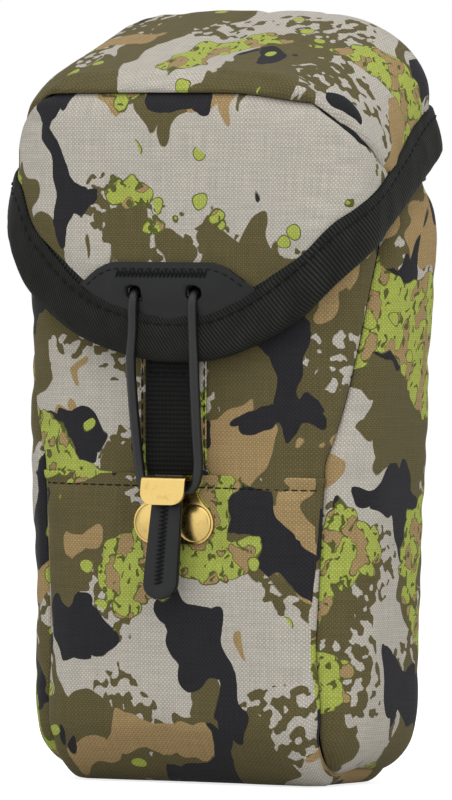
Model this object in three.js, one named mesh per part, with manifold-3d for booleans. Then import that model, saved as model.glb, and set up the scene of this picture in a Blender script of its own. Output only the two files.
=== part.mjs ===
// Padded field pouch for a handheld laser rangefinder: a sewn, foam-lined body with two side
// gussets, a hooded lid bound with tape, and a closure of elastic cord, leather pull tab and
// folded brass hook. Millimetres, +Z up, the front faces -Y, the origin lies under the middle.
import * as THREE from 'three';
import Module from 'manifold-3d';
import { mergeVertices } from 'three/addons/utils/BufferGeometryUtils.js';

const wasm = await Module();
wasm.setup();

// Body of the pouch, measured over the outer cloth
const baseHalfWidth = 43.8;
const bellyHalfWidth = 46.4;
const mouthHalfWidth = 43.4;
const baseHalfDepth = 25.4;
const bellyHalfDepth = 27.2;
const mouthHalfDepth = 26.4;
const bellyHeight = 132;
const mouthHeight = 152;
const mouthTiltShare = 0.2;
const bodyCorner = 12;
const bodyCrown = 0.8;
const baseRoll = 9;
const seamAngleDegrees = 30;
const gussetSlideHeights = [0.68, 0.8, 1];
const gussetSlides = [0, 0.18, 0.42, 0.92];

// Layers of the body wall, from outside to inside
const cloth = 0.8;
const layerGap = 0.3;
const foam = 3;
const lining = 0.8;

// Lid, a hood that hangs over the body on a hinge of tape at the back
const lidHalfWidth = 48.5;
const lidFlareShare = 0.045;
const lidFront = 32.7;
const lidBack = 28.8;
const lidCorner = 14;
const lidBackCorner = 12;
const lidCrown = 2;
const creaseHeight = 171.5;
const topBackHeight = 191;
const topCrown = 2;
const topReachShare = 1.25;
const frontRollIn = 5;
const frontRollRise = 4.5;
const sideRollIn = 18;
const sideRollRise = 28;
const leftShoulder = 1.16;
const rightShoulder = 0.72;
const backRollIn = 12;
const backRollRise = 13;
const flapTipHeight = 104;
const lidCloth = 0.8;
const lidGap = 0.66;
const lidFoam = 0.4;
const lidLining = 0.4;

// Seam between the flap and the top panel, down the sides, as shares of the drop and of the front
const seamDrops = [0.06, 0.25, 0.42, 0.62, 1];
const seamDepths = [0.95, 0.78, 0.62, 0.45, 0.1];

// Tape hinge between the back of the body and the lid
const hingeHeight = 159.6;
const hingeTapeHeight = 14;
const hingeTapeHalfWidth = 34;
const hingeTape = 1;

// Folded tape round the lid's edge and round the mouth
const bindingWidth = 9.5;
const bindingTape = 0.7;
const bindingGap = 0.25;
const mouthBindingWidth = 6;

// Front pocket panel with a turned hem, webbing strap and its backing
const hemHeight = 76.5;
const hemWidth = 7;
const hemExtra = 0.35;
const strapHalfWidth = 6.8;
const strapThickness = 1;
const strapTop = 110;
const backingHalfWidth = 8.8;
const backingThickness = 0.5;

// Brass hook, its rivets and their washers
const plateThickness = 0.7;
const rivetDrop = 12;
const rivetHeight = hemHeight - rivetDrop;
const rivetHalfSpacing = 5.75;
const rivetRadius = 4.3;
const rivetDome = 1.1;
const rivetPost = 1.2;
const lobeRadius = 5.2;
const neckAngleDegrees = 56;
const neckFlare = 0.3;
const foldBendShare = 1.6;
const tongueHalfWidth = 6;
const tongueCorner = 3.2;
const hookDrop = 0.5;
const hookTop = hemHeight - hookDrop;
const hookTiltDegrees = 9;
const tongueLength = 7;
const washerRadius = 3.1;
const washerThickness = 0.5;
const fitGap = 0.25;

// Elastic cord loop, its knots, and the leather parts that it passes through
const legDropShares = [0.1, 1];
const legLeanShare = 0.6;
const legDropShare = 0.55;
const eyeEntryShares = [0.4, 0.12];
const cordDiameter = 2.5;
const cordHalfSpacing = 8.2;
const cordHoleHeight = 121;
const cordHoleRadius = 1.85;
const knotRadius = 2.7;
const knotThickness = 2.5;
const patchHalfTop = 15.6;
const patchHalfWidth = 24.6;
const patchTopHeight = 128.4;
const patchSideHeight = 122.3;
const patchThickness = 1.2;
const tabLeaf = 0.9;
const tabHalfTop = 3.8;
const tabHalfBottom = 4.4;
const tabCorner = 2.4;
const tabLength = 27;

// Belt loop on the back
const beltLoopHalfWidth = 20;
const beltLoopLow = 52;
const beltLoopHigh = 124;
const beltLoopSewn = 10;
const beltLoopThickness = 1.8;
const beltSlot = 6;
const beltBowReach = 8.4;
const beltPatchMargin = 5;
const beltPatchThickness = 0.6;

// Clearances and overruns
const touchGap = 0.3;
const seamGap = 0.3;
const padInset = 1.2;
const cutOverrun = 20;

// Counts
const cornerSteps = 4;
const frontRuns = 8;
const sideRuns = 3;
const backRuns = 4;
const rollSteps = 3;
const stripColumns = 4;
const stripRows = 4;
const patchColumns = 12;
const loopRows = 14;
const roundSegments = 16;
const knotSegments = 10;
const knotRows = 6;
const cordSides = 8;
const cordSteps = 48;

// Finishes
const finish = (color, roughness, metalness = 0) =>
  new THREE.MeshStandardMaterial({ color, roughness, metalness });
const camoCloth = finish('#8f8b76', 0.9);
const blackTape = finish('#2a2b29', 0.85);
const padding = finish('#3a3b3c', 0.95);
const innerCloth = finish('#1f2021', 0.9);
const leather = finish('#303131', 0.6);
const brass = finish('#d7b969', 0.3, 1);
const elastic = finish('#232425', 0.7);

const pouch = new THREE.Group();
const radians = (degrees) => THREE.MathUtils.degToRad(degrees);
const lerp = (start, end, share) => start + (end - start) * share;
const half = (value) => value / 2;

// Turns the triangles round where a solid was wound inside out
function facingOut(positions, triangles) {
  const a = new THREE.Vector3();
  const b = new THREE.Vector3();
  const c = new THREE.Vector3();
  let volume = 0;
  for (let at = 0; at < triangles.length; at += 3) {
    a.fromArray(positions, 3 * triangles[at]);
    b.fromArray(positions, 3 * triangles[at + 1]);
    c.fromArray(positions, 3 * triangles[at + 2]);
    volume += a.dot(b.cross(c));
  }
  if (volume > 0) return triangles;
  const turned = triangles.slice();
  for (let at = 0; at < turned.length; at += 3) {
    turned[at + 1] = triangles[at + 2];
    turned[at + 2] = triangles[at + 1];
  }
  return turned;
}

function geometryOf(points, triangles) {
  const positions = new Float32Array(points.flatMap((point) => [point.x, point.y, point.z]));
  const geometry = new THREE.BufferGeometry();
  geometry.setAttribute('position', new THREE.BufferAttribute(positions, 3));
  geometry.setIndex(facingOut(positions, triangles));
  return geometry;
}

function solidOf(geometry) {
  const bare = geometry.clone();
  bare.deleteAttribute('normal');
  bare.deleteAttribute('uv');
  const merged = mergeVertices(bare);
  return new wasm.Manifold(new wasm.Mesh({
    numProp: 3,
    vertProperties: new Float32Array(merged.attributes.position.array),
    triVerts: new Uint32Array(merged.index.array),
  }));
}

function addPiece(name, shape, material) {
  let geometry = shape;
  if (!shape.isBufferGeometry) {
    const cut = shape.getMesh();
    geometry = new THREE.BufferGeometry();
    geometry.setAttribute('position', new THREE.BufferAttribute(cut.vertProperties, 3));
    geometry.setIndex(new THREE.BufferAttribute(cut.triVerts, 1));
  }
  geometry.computeVertexNormals();
  const mesh = new THREE.Mesh(geometry, material);
  mesh.name = name;
  pouch.add(mesh);
  return mesh;
}

// Closes a stack of rings, each with the same number of points, into one solid
function loft(rings) {
  const count = rings[0].length;
  const points = rings.flat();
  const triangles = [];
  for (let ring = 0; ring + 1 < rings.length; ring += 1) {
    for (let at = 0; at < count; at += 1) {
      const next = (at + 1) % count;
      const low = ring * count;
      const high = low + count;
      triangles.push(low + at, low + next, high + next, low + at, high + next, high + at);
    }
  }
  const centre = (ring) => ring.reduce((sum, point) => sum.add(point), new THREE.Vector3())
    .divideScalar(count);
  const firstCentre = points.length;
  points.push(centre(rings[0]), centre(rings[rings.length - 1]));
  const last = (rings.length - 1) * count;
  for (let at = 0; at < count; at += 1) {
    const next = (at + 1) % count;
    triangles.push(firstCentre, next, at, firstCentre + 1, last + at, last + next);
  }
  return geometryOf(points, triangles);
}

// A thin closed sheet: place(u, v, side) gives its back at side 0 and its face at side 1
function sheet(columns, rows, place) {
  const points = [];
  for (const side of [0, 1]) {
    for (let row = 0; row <= rows; row += 1) {
      for (let column = 0; column <= columns; column += 1) {
        points.push(place(column / columns, row / rows, side));
      }
    }
  }
  const wide = columns + 1;
  const layer = wide * (rows + 1);
  const triangles = [];
  for (let row = 0; row < rows; row += 1) {
    for (let column = 0; column < columns; column += 1) {
      const a = row * wide + column;
      const b = a + 1;
      const c = b + wide;
      const d = a + wide;
      triangles.push(a, c, b, a, d, c);
      triangles.push(layer + a, layer + b, layer + c, layer + a, layer + c, layer + d);
    }
  }
  const wall = (from, to) => triangles.push(from, to, layer + to, from, layer + to, layer + from);
  for (let column = 0; column < columns; column += 1) {
    wall(column, column + 1);
    wall(rows * wide + column + 1, rows * wide + column);
  }
  for (let row = 0; row < rows; row += 1) {
    wall((row + 1) * wide, row * wide);
    wall(row * wide + columns, (row + 1) * wide + columns);
  }
  return geometryOf(points, triangles);
}

// Sweeps a closed profile of (out, up) points past numbered stations; place(station, out, up)
// gives the point in space
function sweep(stationCount, profile, place, closed) {
  const points = [];
  for (let station = 0; station < stationCount; station += 1) {
    for (const [out, up] of profile) points.push(place(station, out, up));
  }
  const count = profile.length;
  const triangles = [];
  const spans = closed ? stationCount : stationCount - 1;
  for (let span = 0; span < spans; span += 1) {
    const low = span * count;
    const high = ((span + 1) % stationCount) * count;
    for (let at = 0; at < count; at += 1) {
      const next = (at + 1) % count;
      triangles.push(low + at, high + next, low + next, low + at, high + at, high + next);
    }
  }
  if (!closed) {
    const outline = profile.map(([out, up]) => new THREE.Vector2(out, up));
    const last = (stationCount - 1) * count;
    const turned = THREE.ShapeUtils.isClockWise(outline);
    for (const [a, b, c] of THREE.ShapeUtils.triangulateShape(outline, [])) {
      const [second, third] = turned ? [c, b] : [b, c];
      triangles.push(a, second, third, last + a, last + third, last + second);
    }
  }
  return geometryOf(points, triangles);
}

// Rounded plan outline as stations with outward normals, counter-clockwise from the front right
function planLoop({ halfWidth, front, back, frontCorner, backCorner, crown }) {
  const corners = [
    { x: halfWidth - frontCorner, y: frontCorner - front, radius: frontCorner, start: -90 },
    { x: halfWidth - backCorner, y: back - backCorner, radius: backCorner, start: 0 },
    { x: backCorner - halfWidth, y: back - backCorner, radius: backCorner, start: 90 },
    { x: frontCorner - halfWidth, y: frontCorner - front, radius: frontCorner, start: 180 },
  ];
  const runs = [sideRuns, backRuns, sideRuns, frontRuns];
  const loop = [];
  corners.forEach((corner, index) => {
    for (let step = 0; step <= cornerSteps; step += 1) {
      const angle = radians(corner.start + (90 * step) / cornerSteps);
      const nx = Math.cos(angle);
      const ny = Math.sin(angle);
      loop.push({ x: corner.x + corner.radius * nx, y: corner.y + corner.radius * ny, nx, ny });
    }
    const from = loop[loop.length - 1];
    const nextCorner = corners[(index + 1) % corners.length];
    const next = radians(nextCorner.start);
    const toX = nextCorner.x + nextCorner.radius * Math.cos(next);
    const toY = nextCorner.y + nextCorner.radius * Math.sin(next);
    for (let step = 1; step < runs[index]; step += 1) {
      const share = step / runs[index];
      loop.push({ x: lerp(from.x, toX, share), y: lerp(from.y, toY, share), nx: from.nx, ny: from.ny });
    }
  });
  for (const station of loop) {
    const forward = Math.max(0, -station.ny);
    station.y -= crown * forward * Math.cos(half(Math.PI * Math.min(1, Math.abs(station.x) / halfWidth)));
  }
  return loop;
}

// Half width and half depth of the body at a height: it swells to the belly and draws in above
function bodySize(height) {
  if (height <= bellyHeight) {
    const share = height / bellyHeight;
    return {
      halfWidth: lerp(baseHalfWidth, bellyHalfWidth, share),
      halfDepth: lerp(baseHalfDepth, bellyHalfDepth, share),
    };
  }
  const share = THREE.MathUtils.smoothstep(height, bellyHeight, mouthHeight);
  return {
    halfWidth: lerp(bellyHalfWidth, mouthHalfWidth, share),
    halfDepth: lerp(bellyHalfDepth, mouthHalfDepth, share),
  };
}

function bodyLoop(height, offset) {
  const { halfWidth, halfDepth } = bodySize(height);
  return planLoop({
    halfWidth: halfWidth + offset,
    front: halfDepth + offset,
    back: halfDepth + offset,
    frontCorner: bodyCorner + offset,
    backCorner: bodyCorner + offset,
    crown: bodyCrown,
  });
}

// Rings of one skin of the body from the base up to the mouth, an offset out from the outer cloth
function bodyRings(offset) {
  const rings = [];
  const rollRadius = baseRoll + offset;
  const foot = bodyLoop(0, offset);
  for (let step = 0; step < rollSteps; step += 1) {
    const angle = half(Math.PI) * (1 - step / rollSteps);
    const inset = rollRadius * (1 - Math.cos(angle));
    rings.push(foot.map((station) => new THREE.Vector3(
      station.x - station.nx * inset,
      station.y - station.ny * inset,
      baseRoll - rollRadius * Math.sin(angle),
    )));
  }
  for (const height of [baseRoll, bellyHeight, half(bellyHeight + mouthHeight)]) {
    rings.push(bodyLoop(height, offset).map((station) => new THREE.Vector3(station.x, station.y, height)));
  }
  rings.push(bodyLoop(mouthHeight, offset).map((station) => new THREE.Vector3(
    station.x,
    station.y,
    mouthHeight + mouthTiltShare * station.y,
  )));
  return rings;
}

// An open-topped cup between two offsets of the body surface
function bodyCup(outer, inner) {
  return loft([...bodyRings(outer), ...bodyRings(inner).reverse()]);
}

// Outline of a side gusset as seen from the side, grown by a margin: its front edge slides back
// near the mouth, and its bottom corners are round
function gussetOutline(margin) {
  const seam = radians(seamAngleDegrees);
  const cornerY = baseHalfDepth - bodyCorner + bodyCorner * Math.cos(seam) + margin;
  const bottom = baseRoll * (1 - Math.SQRT1_2) - margin;
  const round = bodyCorner;
  const top = mouthHeight + cutOverrun;
  const slideHeights = [hemHeight, ...gussetSlideHeights.map((share) => share * mouthHeight)];
  const outline = new THREE.Shape();
  outline.moveTo(cornerY, top);
  outline.lineTo(cornerY, bottom + round);
  outline.absarc(cornerY - round, bottom + round, round, 0, -half(Math.PI), true);
  outline.lineTo(round - cornerY, bottom);
  outline.absarc(round - cornerY, bottom + round, round, -half(Math.PI), -Math.PI, true);
  slideHeights.forEach((height, index) => {
    outline.lineTo(gussetSlides[index] * cornerY - cornerY, height);
  });
  outline.lineTo(-margin, top);
  return outline;
}

// Extrudes an outline drawn in (y, z) along x between two places
function sidePrism(outline, fromX, toX) {
  const geometry = new THREE.ExtrudeGeometry(outline, {
    depth: toX - fromX,
    bevelEnabled: false,
    curveSegments: cornerSteps,
  });
  const place = new THREE.Matrix4().makeBasis(
    new THREE.Vector3(0, 1, 0),
    new THREE.Vector3(0, 0, 1),
    new THREE.Vector3(1, 0, 0),
  ).setPosition(fromX, 0, 0);
  return geometry.applyMatrix4(place);
}

// Extrudes an outline drawn in (x, z) along y between two places
function frontPrism(outline, fromY, toY) {
  const geometry = new THREE.ExtrudeGeometry(outline, {
    depth: toY - fromY,
    bevelEnabled: false,
    curveSegments: cornerSteps,
  });
  const place = new THREE.Matrix4().makeBasis(
    new THREE.Vector3(-1, 0, 0),
    new THREE.Vector3(0, 0, 1),
    new THREE.Vector3(0, 1, 0),
  ).setPosition(0, fromY, 0);
  return geometry.applyMatrix4(place);
}

function blockBetween(low, high) {
  const size = new THREE.Vector3().subVectors(high, low);
  const middle = new THREE.Vector3().addVectors(low, high).multiplyScalar(half(1));
  return solidOf(new THREE.BoxGeometry(size.x, size.y, size.z).translate(middle.x, middle.y, middle.z));
}

// A round bar along y, used for posts and for the holes that they pass through
function barAlongY(radius, x, z, fromY, toY) {
  const bar = new THREE.CylinderGeometry(radius, radius, toY - fromY, roundSegments);
  return solidOf(bar.translate(x, half(fromY + toY), z));
}

// Front surface of the body at a place across the front and a height, an offset out from the cloth
function bodyFrontY(x, height, offset) {
  const { halfWidth, halfDepth } = bodySize(height);
  const share = Math.min(1, Math.abs(x) / halfWidth);
  return -halfDepth - offset - bodyCrown * Math.cos(half(Math.PI * share));
}

function bodyBackY(height, offset) {
  return bodySize(height).halfDepth + offset;
}

// The front of the lid stands upright, so its face lies at one depth but for the crown
function lidFrontY(x, offset) {
  const share = Math.min(1, Math.abs(x) / lidHalfWidth);
  return -lidFront - offset - lidCrown * Math.cos(half(Math.PI * share));
}

// Rivets and cord holes sit in pairs, mirrored about the middle
const sides = [['left', -1], ['right', 1]];
const washerY = bodyFrontY(0, rivetHeight, -cloth - layerGap);
const plateBackY = bodyFrontY(0, hemHeight, layerGap + cloth + hemExtra + fitGap);
const plateFrontY = plateBackY - plateThickness;

const bodyReach = bellyHalfWidth + cutOverrun;

// The two side gussets' cutters, left then right, grown by a margin
function gussetPrisms(margin) {
  const outline = gussetOutline(margin);
  return [
    solidOf(sidePrism(outline, -bodyReach, -bodyCorner)),
    solidOf(sidePrism(outline, bodyCorner, bodyReach)),
  ];
}

// All of the body's surroundings between two depths and two heights
function slab(fromY, toY, fromZ, toZ) {
  return blockBetween(
    new THREE.Vector3(-bodyReach, fromY, fromZ),
    new THREE.Vector3(bodyReach, toY, toZ),
  );
}

// Cuts a pair of round holes along y where the two rivets sit
function rivetBores(solid, radius, fromY, toY) {
  return sides.reduce((left, [, sign]) => left.subtract(
    barAlongY(radius, sign * rivetHalfSpacing, rivetHeight, fromY, toY),
  ), solid);
}

function makeBody() {
  const outer = solidOf(bodyCup(0, -cloth));
  gussetPrisms(0).forEach((prism, index) => {
    addPiece(`${sides[index][0]}_gusset`, outer.intersect(prism), camoCloth);
  });
  const wrap = gussetPrisms(seamGap).reduce((left, prism) => left.subtract(prism), outer);
  const backWall = (low) => slab(baseHalfDepth - baseRoll, bodyReach, low, mouthHeight + cutOverrun);
  const front = wrap.subtract(backWall(baseRoll - seamGap));
  addPiece('front_panel', rivetBores(front, rivetPost + fitGap, plateFrontY, washerY), camoCloth);
  addPiece('back_panel', wrap.intersect(backWall(baseRoll)), camoCloth);
  makePadding();
  const liningStart = -cloth - layerGap - foam - layerGap;
  addPiece('body_lining', bodyCup(liningStart, liningStart - lining), innerCloth);
  makeMouthBinding();
}

// Foam pads are cut a little inside each panel's seams
function makePadding() {
  const pads = solidOf(bodyCup(-cloth - layerGap, -cloth - layerGap - foam));
  const padTop = mouthHeight - mouthBindingWidth;
  const trimmed = pads.intersect(slab(-bodyReach, bodyReach, 0, padTop));
  gussetPrisms(-padInset).forEach((prism, index) => {
    addPiece(`${sides[index][0]}_foam`, trimmed.intersect(prism), padding);
  });
  const wrap = gussetPrisms(padInset).reduce((left, prism) => left.subtract(prism), trimmed);
  const wallStart = baseRoll + foam;
  const front = wrap.intersect(slab(-bodyReach, 0, wallStart, padTop));
  const washerEnd = washerY + washerThickness + fitGap + fitGap;
  const sunk = rivetBores(front, washerRadius + fitGap, washerY - foam, washerEnd);
  addPiece('front_foam', sunk, padding);
  addPiece('back_foam', wrap.intersect(slab(0, bodyReach, wallStart, padTop)), padding);
  addPiece('base_foam', wrap.intersect(slab(-bodyReach, bodyReach, 0, wallStart - seamGap)), padding);
}

// A U of folded tape: an outer leg, a rounded fold below or above the edge, and an inner leg
function foldedTape(wallThickness, width, direction) {
  const near = bindingGap;
  const far = bindingGap + bindingTape;
  const inside = -wallThickness;
  const bend = half(bindingTape);
  const profile = [
    [near, width],
    [far, width],
    [far, bend - far],
    [far - bend, -far],
    [inside - far + bend, -far],
    [inside - far, bend - far],
    [inside - far, width],
    [inside - near, width],
    [inside - near, -near],
    [near, -near],
  ];
  return profile.map(([out, up]) => [out, up * direction]);
}

function makeMouthBinding() {
  const wall = cloth + foam + lining + layerGap * 2;
  const belowHeight = half(bellyHeight + mouthHeight);
  const place = (station, out, up) => {
    const top = bodyLoop(mouthHeight, out)[station];
    const below = bodyLoop(belowHeight, out)[station];
    const edgeHeight = mouthHeight + mouthTiltShare * bodyLoop(mouthHeight, Math.min(0, out))[station].y;
    const share = Math.max(0, -up) / (edgeHeight - belowHeight);
    return new THREE.Vector3(lerp(top.x, below.x, share), lerp(top.y, below.y, share), edgeHeight + up);
  };
  const stationCount = bodyLoop(mouthHeight, 0).length;
  const tape = foldedTape(wall, mouthBindingWidth, -1);
  addPiece('mouth_binding', sweep(stationCount, tape, place, true), blackTape);
}

// Front pocket panel: follows the front from seam to seam, turns under with the base, and has a
// doubled hem along its top edge
function makePocketPanel() {
  const seam = radians(seamAngleDegrees) - seamGap * 2 / bodyCorner;
  const underAngle = (half(Math.PI) * 2) / rollSteps;
  const hemStep = seamGap;
  const levels = [
    -baseRoll * underAngle,
    -half(baseRoll * underAngle),
    0,
    half(hemHeight - baseRoll),
    hemHeight - hemWidth - hemStep - baseRoll,
    hemHeight - hemWidth - baseRoll,
    hemHeight - baseRoll,
  ];
  const cornerTurns = [seam];
  for (let step = Math.floor((seam * cornerSteps) / half(Math.PI)); step > 0; step -= 1) {
    cornerTurns.push((step * half(Math.PI)) / cornerSteps);
  }
  const columns = frontRuns + cornerTurns.length * 2;
  const place = (u, v, side) => {
    const level = levels[Math.round(v * (levels.length - 1))];
    const hemmed = level + baseRoll > hemHeight - hemWidth - half(hemStep);
    const out = layerGap + side * (cloth + (hemmed ? hemExtra : 0));
    const height = Math.max(baseRoll, baseRoll + level);
    const { halfWidth, halfDepth } = bodySize(level < 0 ? 0 : height);
    const flat = halfWidth - bodyCorner;
    const column = Math.round(u * columns);
    const outward = Math.min(column, columns - column);
    const turned = outward < cornerTurns.length;
    const sign = Math.sign(column - half(columns));
    const round = turned ? cornerTurns[outward] : 0;
    const nx = Math.sin(round) * sign;
    const ny = -Math.cos(round);
    const straight = Math.abs(column - half(columns)) / half(frontRuns);
    const baseX = sign * flat * Math.min(1, straight);
    const roll = Math.max(0, -level) / baseRoll;
    const share = Math.min(1, Math.abs(baseX + nx * bodyCorner) / halfWidth);
    const crown = bodyCrown * Math.cos(half(Math.PI * share));
    const radius = bodyCorner - baseRoll + (baseRoll + out) * Math.cos(roll);
    return new THREE.Vector3(
      baseX + nx * radius,
      -(halfDepth - bodyCorner) + ny * radius - crown * -ny,
      height - (baseRoll + out) * Math.sin(roll),
    );
  };
  const panel = solidOf(sheet(columns, levels.length - 1, place));
  addPiece('front_pocket_panel', rivetBores(panel, rivetPost + fitGap, plateFrontY, washerY), camoCloth);
}

// Webbing strap and the cloth strip behind it, both standing on the turned hem's top edge
function makeStrap() {
  const strip = (halfWidth, near, thickness, top) => sheet(stripColumns, stripRows, (u, v, side) => {
    const x = lerp(-halfWidth, halfWidth, u);
    const height = lerp(hemHeight + touchGap, top, v);
    return new THREE.Vector3(x, bodyFrontY(x, height, near + side * thickness), height);
  });
  addPiece('strap_backing', strip(backingHalfWidth, layerGap, backingThickness, strapTop), camoCloth);
  const strapNear = layerGap + backingThickness + bindingGap;
  addPiece('closure_strap', strip(strapHalfWidth, strapNear, strapThickness, strapTop), blackTape);
}

// Heights of the lid's lower edge round half of the loop, as shares of the way round and of the rise
const edgeAlongShares = [0, 0.13, 0.25, 0.385, 0.5, 0.63, 0.757, 1];
const edgeRiseShares = [0, 0.075, 0.235, 0.51, 0.68, 0.91, 1, 1];

function smoothCurve(places, values, at) {
  const last = places.length - 1;
  const slopeAt = (index) => {
    if (index <= 0 || index >= last - 1) return 0;
    return (values[index + 1] - values[index - 1]) / (places[index + 1] - places[index - 1]);
  };
  let span = 0;
  while (span < last - 1 && at > places[span + 1]) span += 1;
  const width = places[span + 1] - places[span];
  const t = (at - places[span]) / width;
  const rise = values[span + 1] - values[span];
  const start = slopeAt(span) * width;
  const end = slopeAt(span + 1) * width;
  return values[span] + t * (start + t * (3 * rise - 2 * start - end + t * (start + end - 2 * rise)));
}

function lidLoop(height, offset) {
  const flare = lidFlareShare * Math.max(0, creaseHeight - height);
  return planLoop({
    halfWidth: lidHalfWidth + flare + offset,
    front: lidFront + offset,
    back: lidBack + offset,
    frontCorner: lidCorner + offset,
    backCorner: lidBackCorner + offset,
    crown: lidCrown,
  });
}

// Edge stations: place, normal, height, and the stretch that a sloping edge gives the tape
function lidEdge() {
  const upright = lidLoop(creaseHeight, 0);
  const count = upright.length;
  const start = upright.findIndex((station) => station.ny < 0 && Math.abs(station.x) < touchGap);
  const length = upright.map((station, index) => {
    const next = upright[(index + 1) % count];
    return Math.hypot(next.x - station.x, next.y - station.y);
  });
  const total = length.reduce((sum, part) => sum + part, 0);
  const lowest = hingeHeight + touchGap;
  const heights = new Array(count);
  let along = 0;
  for (let step = 0; step < count; step += 1) {
    const index = (start + step) % count;
    const share = Math.min(along, total - along) / half(total);
    heights[index] = lerp(flapTipHeight, lowest, smoothCurve(edgeAlongShares, edgeRiseShares, share));
    along += length[index];
  }
  const stations = heights.map((height, index) => {
    const before = heights[(index + count - 1) % count];
    const after = heights[(index + 1) % count];
    const run = length[index] + length[(index + count - 1) % count];
    return { height, stretch: Math.hypot(1, (after - before) / run) };
  });
  return { stations, halfAround: half(total) };
}

const { stations: edge, halfAround } = lidEdge();

// The soft lid stands squarer on its left shoulder, and slopes more on its right towards the back
function shoulder({ x, y }) {
  const back = (y + lidFront) / (lidFront + lidBack);
  return x < 0 ? leftShoulder : lerp(1, rightShoulder, back);
}

// Height of the sloped top of the lid over a place in plan
function lidTopHeight(station) {
  const back = (station.y + lidFront) / (lidFront + lidBack);
  const side = station.x / shoulder(station) / (lidHalfWidth - sideRollIn);
  return lerp(creaseHeight + half(frontRollRise), topBackHeight, Math.min(1, back * topReachShare))
    - topCrown * side * side;
}

// Rings of the lid's outer cloth from its edge up to its top
function lidOuterRings() {
  const brow = planLoop({
    halfWidth: lidHalfWidth - sideRollIn,
    front: lidFront - frontRollIn,
    back: lidBack - backRollIn,
    frontCorner: half(lidCorner),
    backCorner: half(lidBackCorner),
    crown: lidCrown,
  });
  for (const station of brow) station.x *= shoulder(station);
  const rollStart = brow.map((station, index) => {
    const sideways = station.nx * station.nx;
    const sideRise = sideRollRise / shoulder(station);
    const rise = lerp(station.ny < 0 ? frontRollRise : backRollRise, sideRise, sideways);
    return Math.max(lidTopHeight(station) - rise, edge[index].height + bindingWidth * edge[index].stretch);
  });
  const low = edge.map(({ height }, index) => {
    const station = lidLoop(height, 0)[index];
    return new THREE.Vector3(station.x, station.y, height);
  });
  const wall = rollStart.map((height, index) => {
    const station = lidLoop(height, 0)[index];
    return new THREE.Vector3(station.x, station.y, height);
  });
  const rings = [low, low.map((point, index) => point.clone().lerp(wall[index], half(1)))];
  for (let step = 0; step <= rollSteps + 1; step += 1) {
    const angle = (half(Math.PI) * step) / (rollSteps + 1);
    const inward = 1 - Math.cos(angle);
    rings.push(wall.map((point, index) => new THREE.Vector3(
      lerp(point.x, brow[index].x, inward),
      lerp(point.y, brow[index].y, inward),
      lerp(point.z, lidTopHeight(brow[index]), Math.sin(angle)),
    )));
  }
  const middleY = half(lidBack - lidFront);
  rings.push(brow.map((station) => {
    const point = new THREE.Vector3(half(station.x), half(station.y + middleY), 0);
    return point.setZ(lidTopHeight(point));
  }));
  return rings;
}

// The same rings moved out from the cloth along the surface's own normals
function lidRings(offset) {
  const rings = lidOuterRings();
  return rings.map((ring, level) => ring.map((point, index) => {
    const count = ring.length;
    const before = ring[(index + count - 1) % count];
    const along = new THREE.Vector3().subVectors(ring[(index + 1) % count], before);
    const above = (rings[level + 1] ?? ring)[index];
    const below = (rings[level - 1] ?? ring)[index];
    const normal = along.cross(new THREE.Vector3().subVectors(above, below));
    if (level === 0) normal.setZ(0);
    return point.clone().addScaledVector(normal.normalize(), offset);
  }));
}

function lidShell(outer, inner) {
  return loft([...lidRings(inner).reverse(), ...lidRings(outer)]);
}

// Seam between the flap and the top panel as seen from the side: along the crease, then down
function flapOutline(margin) {
  const side = lidFront - lidCorner;
  const outline = new THREE.Shape();
  outline.moveTo(-lidFront - cutOverrun, creaseHeight + margin);
  outline.lineTo(-lidFront, creaseHeight + margin);
  seamDrops.forEach((share, index) => {
    const drop = share * (creaseHeight - mouthHeight + bindingWidth);
    outline.lineTo(margin - seamDepths[index] * lidFront, creaseHeight - drop + margin);
  });
  outline.lineTo(side, flapTipHeight);
  outline.lineTo(side, flapTipHeight - cutOverrun);
  outline.lineTo(-lidFront - cutOverrun, flapTipHeight - cutOverrun);
  return outline;
}

function makeLid() {
  const reach = lidHalfWidth + cutOverrun;
  const outer = solidOf(lidShell(0, -lidCloth));
  const holes = (radius) => sides.map(([, sign]) => barAlongY(
    radius,
    sign * cordHalfSpacing,
    cordHoleHeight,
    -lidFront - cutOverrun,
    -half(lidFront),
  ));
  const pierced = (solid, radius) => holes(radius).reduce((left, hole) => left.subtract(hole), solid);
  const clearHole = half(cordDiameter) + fitGap;
  const flap = outer.intersect(solidOf(sidePrism(flapOutline(0), -reach, reach)));
  addPiece('lid_flap', pierced(flap, clearHole), camoCloth);
  addPiece('lid_top', outer.subtract(solidOf(sidePrism(flapOutline(seamGap), -reach, reach))), camoCloth);
  const foamStart = -lidCloth - lidGap;
  const liningStart = foamStart - lidFoam - lidGap;
  const foamShell = solidOf(lidShell(foamStart, foamStart - lidFoam));
  addPiece('lid_foam', pierced(foamShell, clearHole), padding);
  const liningShell = solidOf(lidShell(liningStart, liningStart - lidLining));
  addPiece('lid_lining', pierced(liningShell, clearHole), innerCloth);
  makeLidBinding();
  makeCordPatch(pierced);
}

const lidWall = lidCloth + lidFoam + lidLining + lidGap * 2;

// The tape runs along the lid's edge from one end of the hinge round the front to the other
function makeLidBinding() {
  const upright = lidLoop(creaseHeight, 0);
  const front = upright.findIndex((station) => station.ny < 0 && Math.abs(station.x) < touchGap);
  const count = upright.length;
  const around = [...upright.keys()].map((step) => (front + step) % count);
  const reach = around.findIndex((index) => upright[index].ny > Math.sin(radians(60)));
  const order = [...around.slice(count - reach + 1), ...around.slice(0, reach)];
  const place = (station, out, up) => {
    const index = order[station];
    const height = edge[index].height + up * edge[index].stretch;
    const point = lidLoop(height, out)[index];
    return new THREE.Vector3(point.x, point.y, height);
  };
  const tape = foldedTape(lidWall, bindingWidth, 1);
  addPiece('lid_binding', sweep(order.length, tape, place, false), blackTape);
}

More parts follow.
